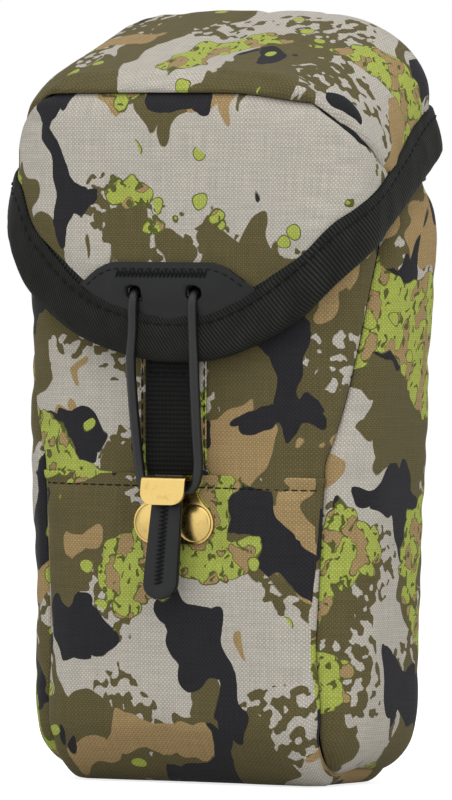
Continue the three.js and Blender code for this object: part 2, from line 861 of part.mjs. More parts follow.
// Leather patch on the flap, its lower edge along the tape, with two holes for the cord
function makeCordPatch(pierced) {
  const near = touchGap;
  const bottomAt = (x) => {
    const rise = smoothCurve(edgeAlongShares, edgeRiseShares, Math.abs(x) / halfAround);
    return lerp(flapTipHeight, hingeHeight, rise) + bindingWidth + touchGap * 3;
  };
  const topAt = (x) => {
    const share = Math.max(0, Math.abs(x) - patchHalfTop) / (patchHalfWidth - patchHalfTop);
    return lerp(patchTopHeight, patchSideHeight, share);
  };
  const geometry = sheet(patchColumns, stripRows, (u, v, side) => {
    const x = lerp(-patchHalfWidth, patchHalfWidth, u);
    const z = lerp(bottomAt(x), topAt(x), v);
    return new THREE.Vector3(x, lidFrontY(x, near + side * patchThickness), z);
  });
  addPiece('cord_patch', pierced(solidOf(geometry), cordHoleRadius), leather);
}

// Tape hinge sewn over the bound mouth at the back, up to the axis on which the lid turns
function makeHinge() {
  const low = hingeHeight - hingeTapeHeight;
  const face = bodyBackY(mouthHeight, bindingGap + bindingTape + touchGap);
  addPiece('hinge_tape', sheet(stripColumns, stripRows, (u, v, side) => new THREE.Vector3(
    lerp(-hingeTapeHalfWidth, hingeTapeHalfWidth, u),
    face + side * hingeTape,
    lerp(low, hingeHeight - touchGap, v),
  )), blackTape);
}

// Hook frame: the eye of the tab lies behind the tongue, and both lean out by the hook's tilt
const hookTilt = radians(hookTiltDegrees);
const eyeInner = half(cordDiameter) + bindingGap;
const eyeOuter = eyeInner + tabLeaf;
const eyeY = plateFrontY - fitGap - eyeOuter;
const eyeZ = hookTop - plateThickness - fitGap - eyeOuter;
const alongTab = new THREE.Vector3(0, -Math.sin(hookTilt), -Math.cos(hookTilt));
const outOfTab = new THREE.Vector3(0, -Math.cos(hookTilt), Math.sin(hookTilt));

// Brass hook from one strip: a two-lobed plate, a fold over the top and a tongue that hangs down
function makeHook() {
  const plate = new THREE.Shape();
  const neck = tongueHalfWidth;
  plate.moveTo(-neck, hookTop - plateThickness);
  plate.lineTo(neck, hookTop - plateThickness);
  const neckAngle = radians(neckAngleDegrees);
  const flareX = rivetHalfSpacing + lobeRadius * Math.cos(neckAngle);
  const flareZ = rivetHeight + lobeRadius * Math.sin(neckAngle);
  plate.quadraticCurveTo(neck + neckFlare, rivetHeight + lobeRadius, flareX, flareZ);
  plate.absarc(rivetHalfSpacing, rivetHeight, lobeRadius, neckAngle, -half(Math.PI), true);
  plate.lineTo(-rivetHalfSpacing, rivetHeight - lobeRadius);
  plate.absarc(-rivetHalfSpacing, rivetHeight, lobeRadius, -half(Math.PI), -Math.PI - neckAngle, true);
  plate.quadraticCurveTo(-neck - neckFlare, rivetHeight + lobeRadius, -neck, hookTop - plateThickness);
  const flat = solidOf(frontPrism(plate, plateFrontY, plateBackY));
  const tongueY = eyeY - eyeOuter - fitGap;
  const tongueEnd = new THREE.Vector2(tongueY - Math.tan(hookTilt) * tongueLength, hookTop - tongueLength);
  const fold = new THREE.Shape();
  const bend = plateThickness * foldBendShare;
  fold.moveTo(plateBackY, hookTop - plateThickness * 2);
  fold.lineTo(plateBackY, hookTop - bend);
  fold.quadraticCurveTo(plateBackY, hookTop, plateBackY - bend, hookTop);
  fold.lineTo(tongueY - plateThickness + bend, hookTop);
  fold.quadraticCurveTo(tongueY - plateThickness, hookTop, tongueY - plateThickness, hookTop - bend);
  fold.lineTo(tongueEnd.x - plateThickness, tongueEnd.y);
  fold.lineTo(tongueEnd.x, tongueEnd.y);
  fold.lineTo(tongueY, hookTop - bend - plateThickness);
  fold.quadraticCurveTo(tongueY, hookTop - plateThickness, tongueY + bend, hookTop - plateThickness);
  fold.lineTo(plateFrontY, hookTop - plateThickness);
  fold.lineTo(plateFrontY, hookTop - plateThickness * 2);
  const strip = solidOf(sidePrism(fold, -tongueHalfWidth, tongueHalfWidth));
  const outline = new THREE.Shape();
  outline.moveTo(-tongueHalfWidth - touchGap, hookTop + touchGap);
  outline.lineTo(tongueHalfWidth + touchGap, hookTop + touchGap);
  outline.lineTo(tongueHalfWidth + touchGap, hookTop - bend);
  outline.lineTo(tongueHalfWidth, hookTop - tongueLength + tongueCorner);
  outline.absarc(tongueHalfWidth - tongueCorner, hookTop - tongueLength + tongueCorner, tongueCorner,
    0, -half(Math.PI), true);
  outline.lineTo(tongueCorner - tongueHalfWidth, hookTop - tongueLength);
  outline.absarc(tongueCorner - tongueHalfWidth, hookTop - tongueLength + tongueCorner, tongueCorner,
    -half(Math.PI), -Math.PI, true);
  outline.lineTo(-tongueHalfWidth - touchGap, hookTop - bend);
  const trim = solidOf(frontPrism(outline, tongueEnd.x - cutOverrun, plateBackY + cutOverrun));
  const hook = flat.add(strip.intersect(trim));
  const bored = rivetBores(hook, rivetPost + fitGap, plateFrontY - plateThickness, washerY);
  addPiece('hook_plate', bored, brass);
}

// Domed rivets with posts through plate, pocket panel and front panel, and washers behind
function makeRivets() {
  const sphere = (rivetRadius * rivetRadius + rivetDome * rivetDome) / (2 * rivetDome);
  const spread = Math.asin(rivetRadius / sphere);
  const flange = touchGap;
  const postLength = washerY + washerThickness * 2 - plateFrontY + touchGap;
  const profile = [new THREE.Vector2(0, -postLength)];
  profile.push(new THREE.Vector2(rivetPost, -postLength));
  profile.push(new THREE.Vector2(rivetPost, 0));
  profile.push(new THREE.Vector2(rivetRadius, 0));
  for (let step = 0; step <= cornerSteps; step += 1) {
    const angle = spread * (1 - step / cornerSteps);
    profile.push(new THREE.Vector2(
      step === cornerSteps ? 0 : sphere * Math.sin(angle),
      flange + rivetDome - sphere + sphere * Math.cos(angle),
    ));
  }
  const washer = [
    [rivetPost + fitGap, 0],
    [washerRadius, 0],
    [washerRadius, washerThickness],
    [rivetPost + fitGap, washerThickness],
    [rivetPost + fitGap, 0],
  ].map(([radius, height]) => new THREE.Vector2(radius, height));
  for (const [side, sign] of sides) {
    const rivet = new THREE.LatheGeometry(profile, roundSegments).rotateX(Math.PI);
    rivet.translate(sign * rivetHalfSpacing, plateFrontY - touchGap, rivetHeight);
    addPiece(`rivet_${side}`, rivet, brass);
    const ring = new THREE.LatheGeometry(washer, roundSegments);
    ring.translate(sign * rivetHalfSpacing, washerY, rivetHeight);
    addPiece(`rivet_washer_${side}`, solidOf(ring), brass);
  }
}

// Elastic cord from knot to knot: out through the patch, down in front of the flap, and across
// through the eye of the tab behind the tongue
function makeCord() {
  const knotFace = lidFrontY(cordHalfSpacing, -lidWall);
  const hangY = lidFrontY(cordHalfSpacing, touchGap * 2 + patchThickness + half(cordDiameter));
  const spread = tongueHalfWidth + half(cordDiameter) + fitGap + fitGap;
  const leg = [
    [cordHalfSpacing, knotFace + touchGap, cordHoleHeight],
    [cordHalfSpacing, lidFrontY(cordHalfSpacing, 0), cordHoleHeight],
    [cordHalfSpacing, hangY + half(cordDiameter), cordHoleHeight - cordDiameter * legDropShares[0]],
    [cordHalfSpacing, hangY - touchGap, cordHoleHeight - cordDiameter * legDropShares[1]],
    [cordHalfSpacing, hangY, half(cordHoleHeight + flapTipHeight)],
    [cordHalfSpacing + touchGap, hangY, flapTipHeight],
    [
      cordHalfSpacing + touchGap,
      lerp(hangY, eyeY, legLeanShare),
      lerp(flapTipHeight, hookTop, legDropShare),
    ],
    [cordHalfSpacing, eyeY, hookTop + cordDiameter],
    [spread, eyeY, hookTop - half(cordDiameter)],
    [tabHalfTop + cordDiameter * eyeEntryShares[0], eyeY, eyeZ + cordDiameter * eyeEntryShares[1]],
    [tabHalfTop, eyeY, eyeZ],
  ].map(([x, y, z]) => new THREE.Vector3(x, y, z));
  const mirrored = leg.map((point) => new THREE.Vector3(-point.x, point.y, point.z)).reverse();
  const route = new THREE.CatmullRomCurve3([...leg, new THREE.Vector3(0, eyeY, eyeZ), ...mirrored],
    false, 'centripetal');
  const section = new THREE.Shape([...Array(cordSides).keys()].map((side) => {
    const angle = (2 * Math.PI * side) / cordSides;
    return new THREE.Vector2(Math.cos(angle), Math.sin(angle)).multiplyScalar(half(cordDiameter));
  }));
  const cord = new THREE.ExtrudeGeometry(section, { steps: cordSteps, extrudePath: route });
  addPiece('elastic_cord', solidOf(cord), elastic);
  for (const [side, sign] of sides) {
    const knot = new THREE.SphereGeometry(knotRadius, knotSegments, knotRows);
    knot.scale(1, half(knotThickness) / knotRadius, 1);
    knot.translate(sign * cordHalfSpacing, knotFace + touchGap * 2 + half(knotThickness), cordHoleHeight);
    addPiece(`cord_knot_${side}`, solidOf(knot), elastic);
  }
}

// Leather pull tab: one strip folded round the cord, its two leaves sewn flat together below
function makeTab() {
  const fold = new THREE.Shape();
  const neckAngle = Math.asin(tabLeaf / eyeOuter);
  fold.moveTo(tabLeaf, -tabLength);
  fold.lineTo(tabLeaf, -eyeOuter * Math.cos(neckAngle));
  fold.absarc(0, 0, eyeOuter, neckAngle - half(Math.PI), 1.5 * Math.PI - neckAngle, false);
  fold.lineTo(-tabLeaf, -tabLength);
  const eye = new THREE.Path();
  eye.absarc(0, 0, eyeInner, 0, 2 * Math.PI, true);
  fold.holes.push(eye);
  const strip = new THREE.ExtrudeGeometry(fold, {
    depth: tabHalfBottom * 2,
    bevelEnabled: false,
    curveSegments: roundSegments,
  });
  const outline = new THREE.Shape();
  outline.moveTo(-tabHalfTop, eyeOuter + touchGap);
  outline.lineTo(-tabHalfBottom, tabCorner - tabLength);
  outline.quadraticCurveTo(-tabHalfBottom, -tabLength, tabCorner - tabHalfBottom, -tabLength);
  outline.lineTo(tabHalfBottom - tabCorner, -tabLength);
  outline.quadraticCurveTo(tabHalfBottom, -tabLength, tabHalfBottom, tabCorner - tabLength);
  outline.lineTo(tabHalfTop, eyeOuter + touchGap);
  const trim = new THREE.ExtrudeGeometry(outline, { depth: eyeOuter * 4, bevelEnabled: false });
  const leftward = new THREE.Vector3(-1, 0, 0);
  const upTab = alongTab.clone().negate();
  const across = new THREE.Matrix4().makeBasis(outOfTab, upTab, leftward);
  across.setPosition(tabHalfBottom, eyeY, eyeZ);
  const facing = new THREE.Matrix4().makeBasis(leftward, upTab, outOfTab.clone().negate());
  facing.setPosition(new THREE.Vector3(0, eyeY, eyeZ).addScaledVector(outOfTab, eyeOuter * 2));
  const cut = solidOf(strip.applyMatrix4(across)).intersect(solidOf(trim.applyMatrix4(facing)));
  addPiece('pull_tab', cut, leather);
}

// Belt loop: a wide strap sewn flat at both ends and bowed out between them, on a stiff patch
function makeBeltLoop() {
  const patchLow = beltLoopLow - beltPatchMargin;
  const patchHigh = beltLoopHigh + beltPatchMargin;
  addPiece('belt_loop_patch', sheet(stripColumns, stripRows, (u, v, side) => {
    const z = lerp(patchLow, patchHigh, v);
    return new THREE.Vector3(
      lerp(-1, 1, u) * (beltLoopHalfWidth + beltPatchMargin),
      bodyBackY(Math.min(z, bellyHeight), touchGap + side * beltPatchThickness),
      z,
    );
  }), camoCloth);
  addPiece('belt_loop', sheet(stripColumns, loopRows, (u, v, side) => {
    const z = lerp(beltLoopLow, beltLoopHigh, v);
    const fromEnd = Math.min(z - beltLoopLow, beltLoopHigh - z);
    const bow = THREE.MathUtils.smoothstep(fromEnd, beltLoopSewn, beltLoopSewn + beltBowReach);
    const near = touchGap * 2 + beltPatchThickness + bow * beltSlot;
    return new THREE.Vector3(
      lerp(-beltLoopHalfWidth, beltLoopHalfWidth, u),
      bodyBackY(Math.min(z, bellyHeight), near + side * beltLoopThickness),
      z,
    );
  }), blackTape);
}

makeBody();
makePocketPanel();
makeStrap();
makeLid();
makeHinge();
makeHook();
makeRivets();
makeCord();
makeTab();
makeBeltLoop();

// The origin goes under the middle of the finished part
const extent = new THREE.Box3().setFromObject(pouch);
pouch.position.y = -half(extent.min.y + extent.max.y);
pouch.position.z = -extent.min.z;

export default pouch;
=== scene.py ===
"""Looks for a padded camouflage field pouch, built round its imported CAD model.

The pouch is sewn from printed, plain-woven nylon over foam. A hooded lid with a folded tape round
its edge is held shut by an elastic cord, a leather pull tab and a folded brass hook. Sizes are in
millimetres as a maker would give them, and turn to metres when a mesh is made.
"""

import logging
import math
from dataclasses import dataclass
from enum import Enum
from typing import Iterable, Sequence

import bmesh
import bpy
import numpy as np
from mathutils import Matrix, Vector, noise
from mathutils.bvhtree import BVHTree

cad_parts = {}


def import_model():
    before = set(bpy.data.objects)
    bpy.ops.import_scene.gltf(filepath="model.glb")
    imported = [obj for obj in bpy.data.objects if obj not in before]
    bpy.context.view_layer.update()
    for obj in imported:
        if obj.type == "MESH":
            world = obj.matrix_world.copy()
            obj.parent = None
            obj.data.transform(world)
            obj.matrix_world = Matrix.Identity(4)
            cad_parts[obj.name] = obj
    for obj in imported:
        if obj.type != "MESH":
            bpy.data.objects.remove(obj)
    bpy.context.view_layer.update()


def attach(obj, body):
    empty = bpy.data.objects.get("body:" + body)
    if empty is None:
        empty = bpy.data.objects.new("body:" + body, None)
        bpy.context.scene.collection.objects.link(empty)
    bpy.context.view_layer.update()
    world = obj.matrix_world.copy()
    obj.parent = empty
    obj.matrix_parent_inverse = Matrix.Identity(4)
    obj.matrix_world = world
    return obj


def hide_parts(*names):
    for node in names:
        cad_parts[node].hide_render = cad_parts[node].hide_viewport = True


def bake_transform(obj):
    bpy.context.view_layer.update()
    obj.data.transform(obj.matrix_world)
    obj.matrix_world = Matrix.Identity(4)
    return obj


log = logging.getLogger("pouch")

MM = 0.001
# The CAD model's origin lies under the middle of its box, this far behind the middle of the body
ORIGIN_SHIFT = 1.746
CLOTH_MAP = "cloth"
SIM_SCALE = 20.0

Array = np.ndarray


class Body(str, Enum):
    """The CAD bodies that pieces ride on."""

    POUCH = "pouch"
    LID = "lid"
    LOOP = "loop"
    TAB = "tab"


class Slot(str, Enum):
    """The record's material slots."""

    CAMOUFLAGE = "camouflage_cloth"
    TAPE = "black_tape"
    LINING = "inner_cloth"
    WEBBING = "webbing"
    LEATHER = "leather"
    BRASS = "brass"
    CORD = "elastic_cord"


# ---------------------------------------------------------------- colour and nodes


def linear(hex_colour: str) -> tuple[float, float, float, float]:
    """Turns an sRGB hex colour to linear light.

    Args:
        hex_colour: six hex digits after a hash sign.

    Returns:
        Red, green, blue and an alpha of one.
    """
    channels = []
    for start in (1, 3, 5):
        value = int(hex_colour[start : start + 2], 16) / 255
        channels.append(value / 12.92 if value <= 0.04045 else ((value + 0.055) / 1.055) ** 2.4)
    return channels[0], channels[1], channels[2], 1.0


def add_node(
    tree: bpy.types.NodeTree,
    kind: str,
    settings: dict | None = None,
    links: dict | None = None,
) -> bpy.types.Node:
    """Adds one node with its settings and its inputs.

    Args:
        tree: the node tree to add to.
        kind: the node's type name.
        settings: attributes of the node.
        links: for each input's name or number, a socket to link or a value to set.

    Returns:
        The new node.
    """
    node = tree.nodes.new(kind)
    for name, value in (settings or {}).items():
        setattr(node, name, value)
    for key, value in (links or {}).items():
        socket = node.inputs[key]
        if isinstance(value, bpy.types.NodeSocket):
            tree.links.new(value, socket)
        else:
            socket.default_value = value
    return node


class Graph:
    """A material's node tree, with short ways to write sums on its sockets."""

    def __init__(self, name: str) -> None:
        """Starts an empty material of that name."""
        self.material = bpy.data.materials.new(name)
        self.material.use_nodes = True
        self.tree = self.material.node_tree
        self.tree.nodes.clear()

    def node(self, kind: str, settings: dict | None = None, links: dict | None = None) -> bpy.types.Node:
        """Adds a node of that kind to this material."""
        return add_node(self.tree, kind, settings, links)

    def math(self, operation: str, first: object, second: object = 0.0, clamp: bool = False) -> object:
        """Adds one Math node and gives its result."""
        settings = {"operation": operation, "use_clamp": clamp}
        return self.node("ShaderNodeMath", settings, {0: first, 1: second}).outputs[0]

    def mix(self, share: object, low: object, high: object) -> object:
        """Mixes two colours and gives the result."""
        links = {"Factor": share, 6: low, 7: high}
        return self.node("ShaderNodeMix", {"data_type": "RGBA"}, links).outputs[2]

    def scaled(self, value: object, factor: float, added: float) -> object:
        """A value times a factor, plus another number."""
        links = {0: value, 1: factor, 2: added}
        return self.node("ShaderNodeMath", {"operation": "MULTIPLY_ADD"}, links).outputs[0]

    def vector(self, operation: str, first: object, second: object) -> object:
        """Adds one Vector Math node; the second value of SCALE is a plain number or a brightness."""
        links = {0: first, "Scale" if operation == "SCALE" else 1: second}
        return self.node("ShaderNodeVectorMath", {"operation": operation}, links).outputs[0]

    def mapped(self, place: object, **more: object) -> object:
        """The place after a Mapping node with the location, rotation or scale given."""
        links = {"Vector": place}
        links.update({name.capitalize(): value for name, value in more.items()})
        return self.node("ShaderNodeMapping", links=links).outputs[0]

    def cloth_place(self, offset: tuple[float, float] = (0.0, 0.0)) -> object:
        """Place on the flat cloth in millimetres, moved by an offset."""
        place = self.node("ShaderNodeUVMap", {"uv_map": CLOTH_MAP}).outputs[0]
        return self.vector("ADD", place, (offset[0], offset[1], 0.0))

    def noise(self, place: object, size: float, detail: float = 2.0, **more: float) -> bpy.types.Node:
        """Adds a noise whose features are about that many millimetres wide."""
        links = {"Vector": place, "Scale": 1.0 / size, "Detail": detail}
        for name, value in more.items():
            links[name.capitalize()] = value
        return self.node("ShaderNodeTexNoise", {"noise_dimensions": "2D"}, links)

    def above(self, value: object, edge: float, blur: float) -> object:
        """A mask that is one where a value is above an edge, with a soft step of that width."""
        links = {0: value, 1: edge - blur / 2, 2: edge + blur / 2, 3: 0.0, 4: 1.0}
        return self.node("ShaderNodeMapRange", {"interpolation_type": "SMOOTHSTEP"}, links).outputs[0]

    def finish(self, shader: bpy.types.Node) -> bpy.types.Material:
        """Links the shader to the output and gives the material."""
        self.node("ShaderNodeOutputMaterial", links={0: shader.outputs[0]})
        return self.material

    def surface(
        self, colour: object, height: object, strength: float, depth: float, more: dict
    ) -> bpy.types.Material:
        """Ends the graph with the shader of a plain surface.

        Args:
            colour: the surface's colour.
            height: its fine relief.
            strength: how strongly the relief shows.
            depth: the relief's depth in millimetres.
            more: other inputs of the shader, each with a value or a socket.

        Returns:
            The material.
        """
        links = {"Strength": strength, "Distance": depth * MM, "Height": height}
        bump = self.node("ShaderNodeBump", links=links)
        links = {"Base Color": colour, "Normal": bump.outputs[0], **more}
        return self.finish(self.node("ShaderNodeBsdfPrincipled", links=links))


def plain_weave(graph: Graph, place: object, pitch: float) -> tuple[object, object]:
    """Height and brightness of a plain weave.

    Args:
        graph: the material's graph.
        place: place on the cloth in millimetres.
        pitch: distance between threads in millimetres.

    Returns:
        The height of the threads, and their brightness: threads that cross over catch the light,
        those that dive under and the gaps between them are darker.
    """
    parts = graph.node("ShaderNodeSeparateXYZ", links={0: place})
    turn = math.pi / pitch
    across = graph.math("SINE", graph.math("MULTIPLY", parts.outputs[0], turn))
    along = graph.math("SINE", graph.math("MULTIPLY", parts.outputs[1], turn))
    warp = graph.math("ABSOLUTE", across)
    weft = graph.math("ABSOLUTE", along)
    over = graph.above(graph.math("MULTIPLY", across, along), 0.0, 0.5)
    links = {"Factor": over, 2: warp, 3: weft}
    height = graph.node("ShaderNodeMix", {"data_type": "FLOAT"}, links).outputs[0]
    # Painted shade in the gaps between threads, and painted light that lifts the threads crossing over.
    gap = graph.math("MULTIPLY", graph.math("SUBTRACT", 1.0, warp), graph.math("SUBTRACT", 1.0, weft))
    crossing_light = graph.math("MULTIPLY", graph.math("MULTIPLY", across, along), 0.22)
    shade = graph.math("MULTIPLY", graph.math("POWER", gap, 0.7), -0.5)
    return height, graph.math("ADD", graph.math("ADD", shade, crossing_light), 1.0)


# ---------------------------------------------------------------- finishes


@dataclass(frozen=True)
class CamouflageCloth:
    """Plain-woven nylon, printed with camouflage: matt, with painted shade in the thread gaps, which show as dark
    dots, and painted light on threads that cross over.
    """

    name: str = "printed_nylon"
    grey: str = "#bdb7ac"
    olive: str = "#625a3c"
    black: str = "#2b2a2d"
    lime: str = "#a9b455"
    tan: str = "#a58c62"
    outline: str = "#5d6030"
    # Threads of such cloth lie about half a millimetre apart
    thread_pitch: float = 0.54
    roughness: float = 0.88

    def make(
        self,
        offset: tuple[float, float],
        tilt: float = 0.0,
        lush: float = 0.0,
        bare: float = 0.0,
    ) -> bpy.types.Material:
        """Makes the cloth for one panel.

        Args:
            offset: where on the print the panel was cut, in millimetres.
            tilt: how far the panel was turned on the print, in degrees.
            lush: how much more lime growth this part of the print has.
            bare: how much more of the grey ground it shows.

        Returns:
            The material.
        """
        graph = Graph(f"{self.name}_{int(offset[0])}_{int(offset[1])}")
        cut = graph.cloth_place()
        turned = (0.0, 0.0, math.radians(tilt))
        place = graph.mapped(cut, rotation=turned, location=(offset[0], offset[1], 0.0))
        printed = self._print(graph, place, lush, bare)
        height, shade = plain_weave(graph, cut, self.thread_pitch)
        shade = graph.math("MULTIPLY", shade, self._threads(graph, cut))
        more = {"Roughness": self.roughness, "Sheen Weight": 0.04, "Specular IOR Level": 0.1}
        return graph.surface(graph.vector("SCALE", printed, shade), height, 0.4, 0.15, more)

    def _threads(self, graph: Graph, weave: object) -> object:
        """Brightness that differs from thread to thread, along and across, and from spot to spot."""
        total = graph.noise(weave, 0.45, 1.0).outputs[0]
        for scale in ((1.0, 0.06, 1.0), (0.06, 1.0, 1.0)):
            drawn = graph.mapped(weave, scale=scale)
            total = graph.math("ADD", total, graph.noise(drawn, self.thread_pitch, 0.0).outputs[0])
        return graph.scaled(total, 0.17, 0.75)

    def _print(self, graph: Graph, place: object, lush: float, bare: float) -> object:
        """Colour of the print: grey ground, mottled and plain shapes, lime growth and round spots."""
        broad = self._warp(graph, place, 15.0, 6.5)
        lobed = self._warp(graph, broad, 6.5, 1.5)
        colour = self._speckled(graph, place, lobed, linear(self.grey), bare)
        for name, moved, size, edge in (
            (self.olive, (401.0, 13.0), 34.0, 0.49 + bare),
            (self.tan, (173.0, 41.0), 24.0, 0.745),
            (self.black, (57.0, 219.0), 23.0, 0.652 + 2 * bare),
        ):
            value = graph.noise(self._moved(graph, lobed, moved), size, 0.0).outputs[0]
            value = graph.math("ADD", value, self._fingers(graph, broad, moved))
            colour = graph.mix(graph.above(value, edge, 0.006), colour, linear(name))
        growth = graph.noise(self._moved(graph, lobed, (311.0, 97.0)), 33.0, 0.0).outputs[0]
        cells = self._cells(graph, self._warp(graph, place, 6.0, 2.0), 5.2)
        growth = graph.math("SUBTRACT", growth, graph.scaled(cells, 0.07, -0.03 - lush))
        colour = graph.mix(graph.above(growth, 0.632, 0.004), colour, linear(self.outline))
        colour = graph.mix(graph.above(growth, 0.64, 0.004), colour, self._growth(graph, place))
        return self._spots(graph, place, colour)

    def _fingers(self, graph: Graph, place: object, moved: tuple[float, float]) -> object:
        """A rise and fall that draws a shape's outline out into round-ended fingers."""
        turned = (0.0, 0.0, moved[0] / 200.0)
        drawn = graph.mapped(self._moved(graph, place, moved), scale=(1.0, 0.42, 1.0), rotation=turned)
        cells = self._cells(graph, drawn, 7.5)
        return graph.scaled(cells, -0.2, 0.08)

    def _speckled(
        self, graph: Graph, place: object, lobed: object, ground: object, bare: float
    ) -> object:
        """The ground with irregular olive speckles that thin out towards a zone's edge."""
        zone = graph.noise(self._moved(graph, lobed, (83.0, 151.0)), 34.0, 0.0).outputs[0]
        speck = graph.noise(self._warp(graph, place, 2.4, 0.9), 2.8, 0.4).outputs[0]
        value = graph.math("ADD", speck, graph.scaled(zone, 1.0, -0.53 - bare))
        value = graph.math("MULTIPLY", value, graph.above(zone, 0.455 + bare, 0.03))
        return graph.mix(graph.above(value, 0.5, 0.015), ground, linear(self.olive))

    def _growth(self, graph: Graph, place: object) -> object:
        """Colour inside the lime shapes: tan islands with dark rims, and short dark marks."""
        wavy = graph.mapped(self._warp(graph, place, 3.2, 1.6), scale=(1.0, 0.7, 1.0))
        islands = graph.noise(wavy, 4.6, 0.0).outputs[0]
        colour = graph.mix(graph.above(islands, 0.575, 0.02), linear(self.lime), linear(self.outline))
        colour = graph.mix(graph.above(islands, 0.605, 0.02), colour, linear(self.tan))
        marks = graph.noise(self._moved(graph, wavy, (31.0, 17.0)), 1.5, 0.0).outputs[0]
        return graph.mix(graph.above(marks, 0.7, 0.03), colour, linear(self.outline))

    def _spots(self, graph: Graph, place: object, colour: object) -> object:
        """A few plain lime ovals, each with a darker rim."""
        cells = self._cells(graph, self._warp(graph, place, 9.0, 2.0), 17.0)
        zone = graph.noise(self._moved(graph, place, (7.0, 303.0)), 40.0, 0.0).outputs[0]
        inside = graph.math("MULTIPLY", graph.math("SUBTRACT", 1.0, cells), graph.above(zone, 0.57, 0.004))
        colour = graph.mix(graph.above(inside, 0.885, 0.006), colour, linear(self.outline))
        return graph.mix(graph.above(inside, 0.9, 0.006), colour, linear(self.lime))

    @staticmethod
    def _cells(graph: Graph, place: object, size: float) -> object:
        """Distance to the nearest of many scattered points, in shares of their spacing."""
        links = {"Vector": place, "Scale": 1.0 / size}
        return graph.node("ShaderNodeTexVoronoi", {"voronoi_dimensions": "2D"}, links).outputs[0]

    @staticmethod
    def _moved(graph: Graph, place: object, by: tuple[float, float]) -> object:
        """The place moved to another part of the print."""
        return graph.vector("ADD", place, (by[0], by[1], 0.0))

    @staticmethod
    def _warp(graph: Graph, place: object, size: float, reach: float) -> object:
        """The place pushed about by a noise, which turns smooth outlines to lobed ones."""
        push = graph.noise(place, size, 1.0).outputs[1]
        centred = graph.vector("SUBTRACT", push, (0.5, 0.5, 0.5))
        return graph.vector("ADD", place, graph.vector("SCALE", centred, 2.0 * reach))


@dataclass(frozen=True)
class RibbedTape:
    """Woven nylon tape or webbing: ribs across or aslant, dull black, with painted highlight on the ribs' crests
    and painted shade in their valleys, stronger in patches.
    """

    name: str
    # The valley colour is the black with painted shade; the crest colour is a painted highlight on the ribs.
    valley: str = "#0f100f"
    crest_highlight: str = "#323330"
    rib_pitch: float = 0.76
    slant: float = -38.0
    cross_pitch: float = 0.0
    roughness: float = 0.7

    def make(self) -> bpy.types.Material:
        """Makes the tape's material.

        Returns:
            The material.
        """
        graph = Graph(self.name)
        cut = graph.cloth_place()
        turned = graph.mapped(cut, rotation=(0.0, 0.0, math.radians(self.slant)))
        parts = graph.node("ShaderNodeSeparateXYZ", links={0: turned})
        turn = 2 * math.pi / self.rib_pitch
        rib = graph.math("SINE", graph.math("MULTIPLY", parts.outputs[0], turn))
        height = graph.math("ADD", graph.math("MULTIPLY", rib, 0.5), 0.5)
        if self.cross_pitch:
            turn = 2 * math.pi / self.cross_pitch
            cross = graph.math("SINE", graph.math("MULTIPLY", parts.outputs[1], turn))
            shallow = graph.math("ADD", graph.math("MULTIPLY", cross, 0.3), 0.7)
            height = graph.math("MULTIPLY", height, shallow)
        # Painted light: the colour runs from shade in the valleys to a highlight on the crests, more in some
        # patches.
        patchy = graph.noise(cut, 6.0, 3.0).outputs[0]
        share = graph.math("MULTIPLY", height, graph.math("ADD", patchy, 0.25), clamp=True)
        colour = graph.mix(share, linear(self.valley), linear(self.crest_highlight))
        more = {"Roughness": self.roughness, "Specular IOR Level": 0.08}
        return graph.surface(colour, height, 0.6, 0.2, more)


@dataclass(frozen=True)
class FinishedLeather:
    """Chrome-tanned leather with a pigmented black finish: fine pebble grain and a soft gloss."""

    name: str = "black_leather"
    colour: str = "#131414"
    worn: str = "#2a2c2c"
    grain: float = 0.7
    roughness: float = 0.48

    def make(self) -> bpy.types.Material:
        """Makes the leather's material.

        Returns:
            The material.
        """
        graph = Graph(self.name)
        place = graph.node("ShaderNodeTexCoord").outputs["Object"]
        cells = graph.node(
            "ShaderNodeTexVoronoi",
            {"feature": "SMOOTH_F1"},
            {"Vector": place, "Scale": 1.0 / (self.grain * MM), "Smoothness": 0.6},
        )
        broad = graph.node("ShaderNodeTexNoise", links={"Vector": place, "Scale": 160.0, "Detail": 3.0})
        edge = graph.node("ShaderNodeNewGeometry").outputs["Pointiness"]
        wear = graph.above(edge, 0.56, 0.08)
        wear = graph.math("MULTIPLY", wear, broad.outputs[0])
        colour = graph.mix(wear, linear(self.colour), linear(self.worn))
        rough = graph.math("ADD", graph.math("MULTIPLY", broad.outputs[0], 0.2), self.roughness - 0.1)
        more = {"Roughness": rough, "Specular IOR Level": 0.22}
        return graph.surface(colour, cells.outputs[0], 0.25, 0.12, more)


@dataclass(frozen=True)
class PolishedBrass:
    """Cartridge brass, stamped and polished: warm gold with a soft, slightly wavy shine."""

    name: str = "polished_brass"
    colour: str = "#b89f62"
    dull: str = "#a88b4c"
    roughness: float = 0.26

    def make(self) -> bpy.types.Material:
        """Makes the brass material.

        Returns:
            The material.
        """
        graph = Graph(self.name)
        place = graph.node("ShaderNodeTexCoord").outputs["Object"]
        smear = graph.node("ShaderNodeTexNoise", links={"Vector": place, "Scale": 420.0, "Detail": 5.0})
        waves = graph.node("ShaderNodeTexNoise", links={"Vector": place, "Scale": 300.0, "Detail": 1.0})
        share = graph.above(smear.outputs[0], 0.66, 0.3)
        colour = graph.mix(share, linear(self.colour), linear(self.dull))
        rough = graph.math("ADD", graph.math("MULTIPLY", smear.outputs[0], 0.22), self.roughness - 0.1)
        more = {"Roughness": rough, "Metallic": 1.0}
        return graph.surface(colour, waves.outputs[0], 0.06, 0.1, more)


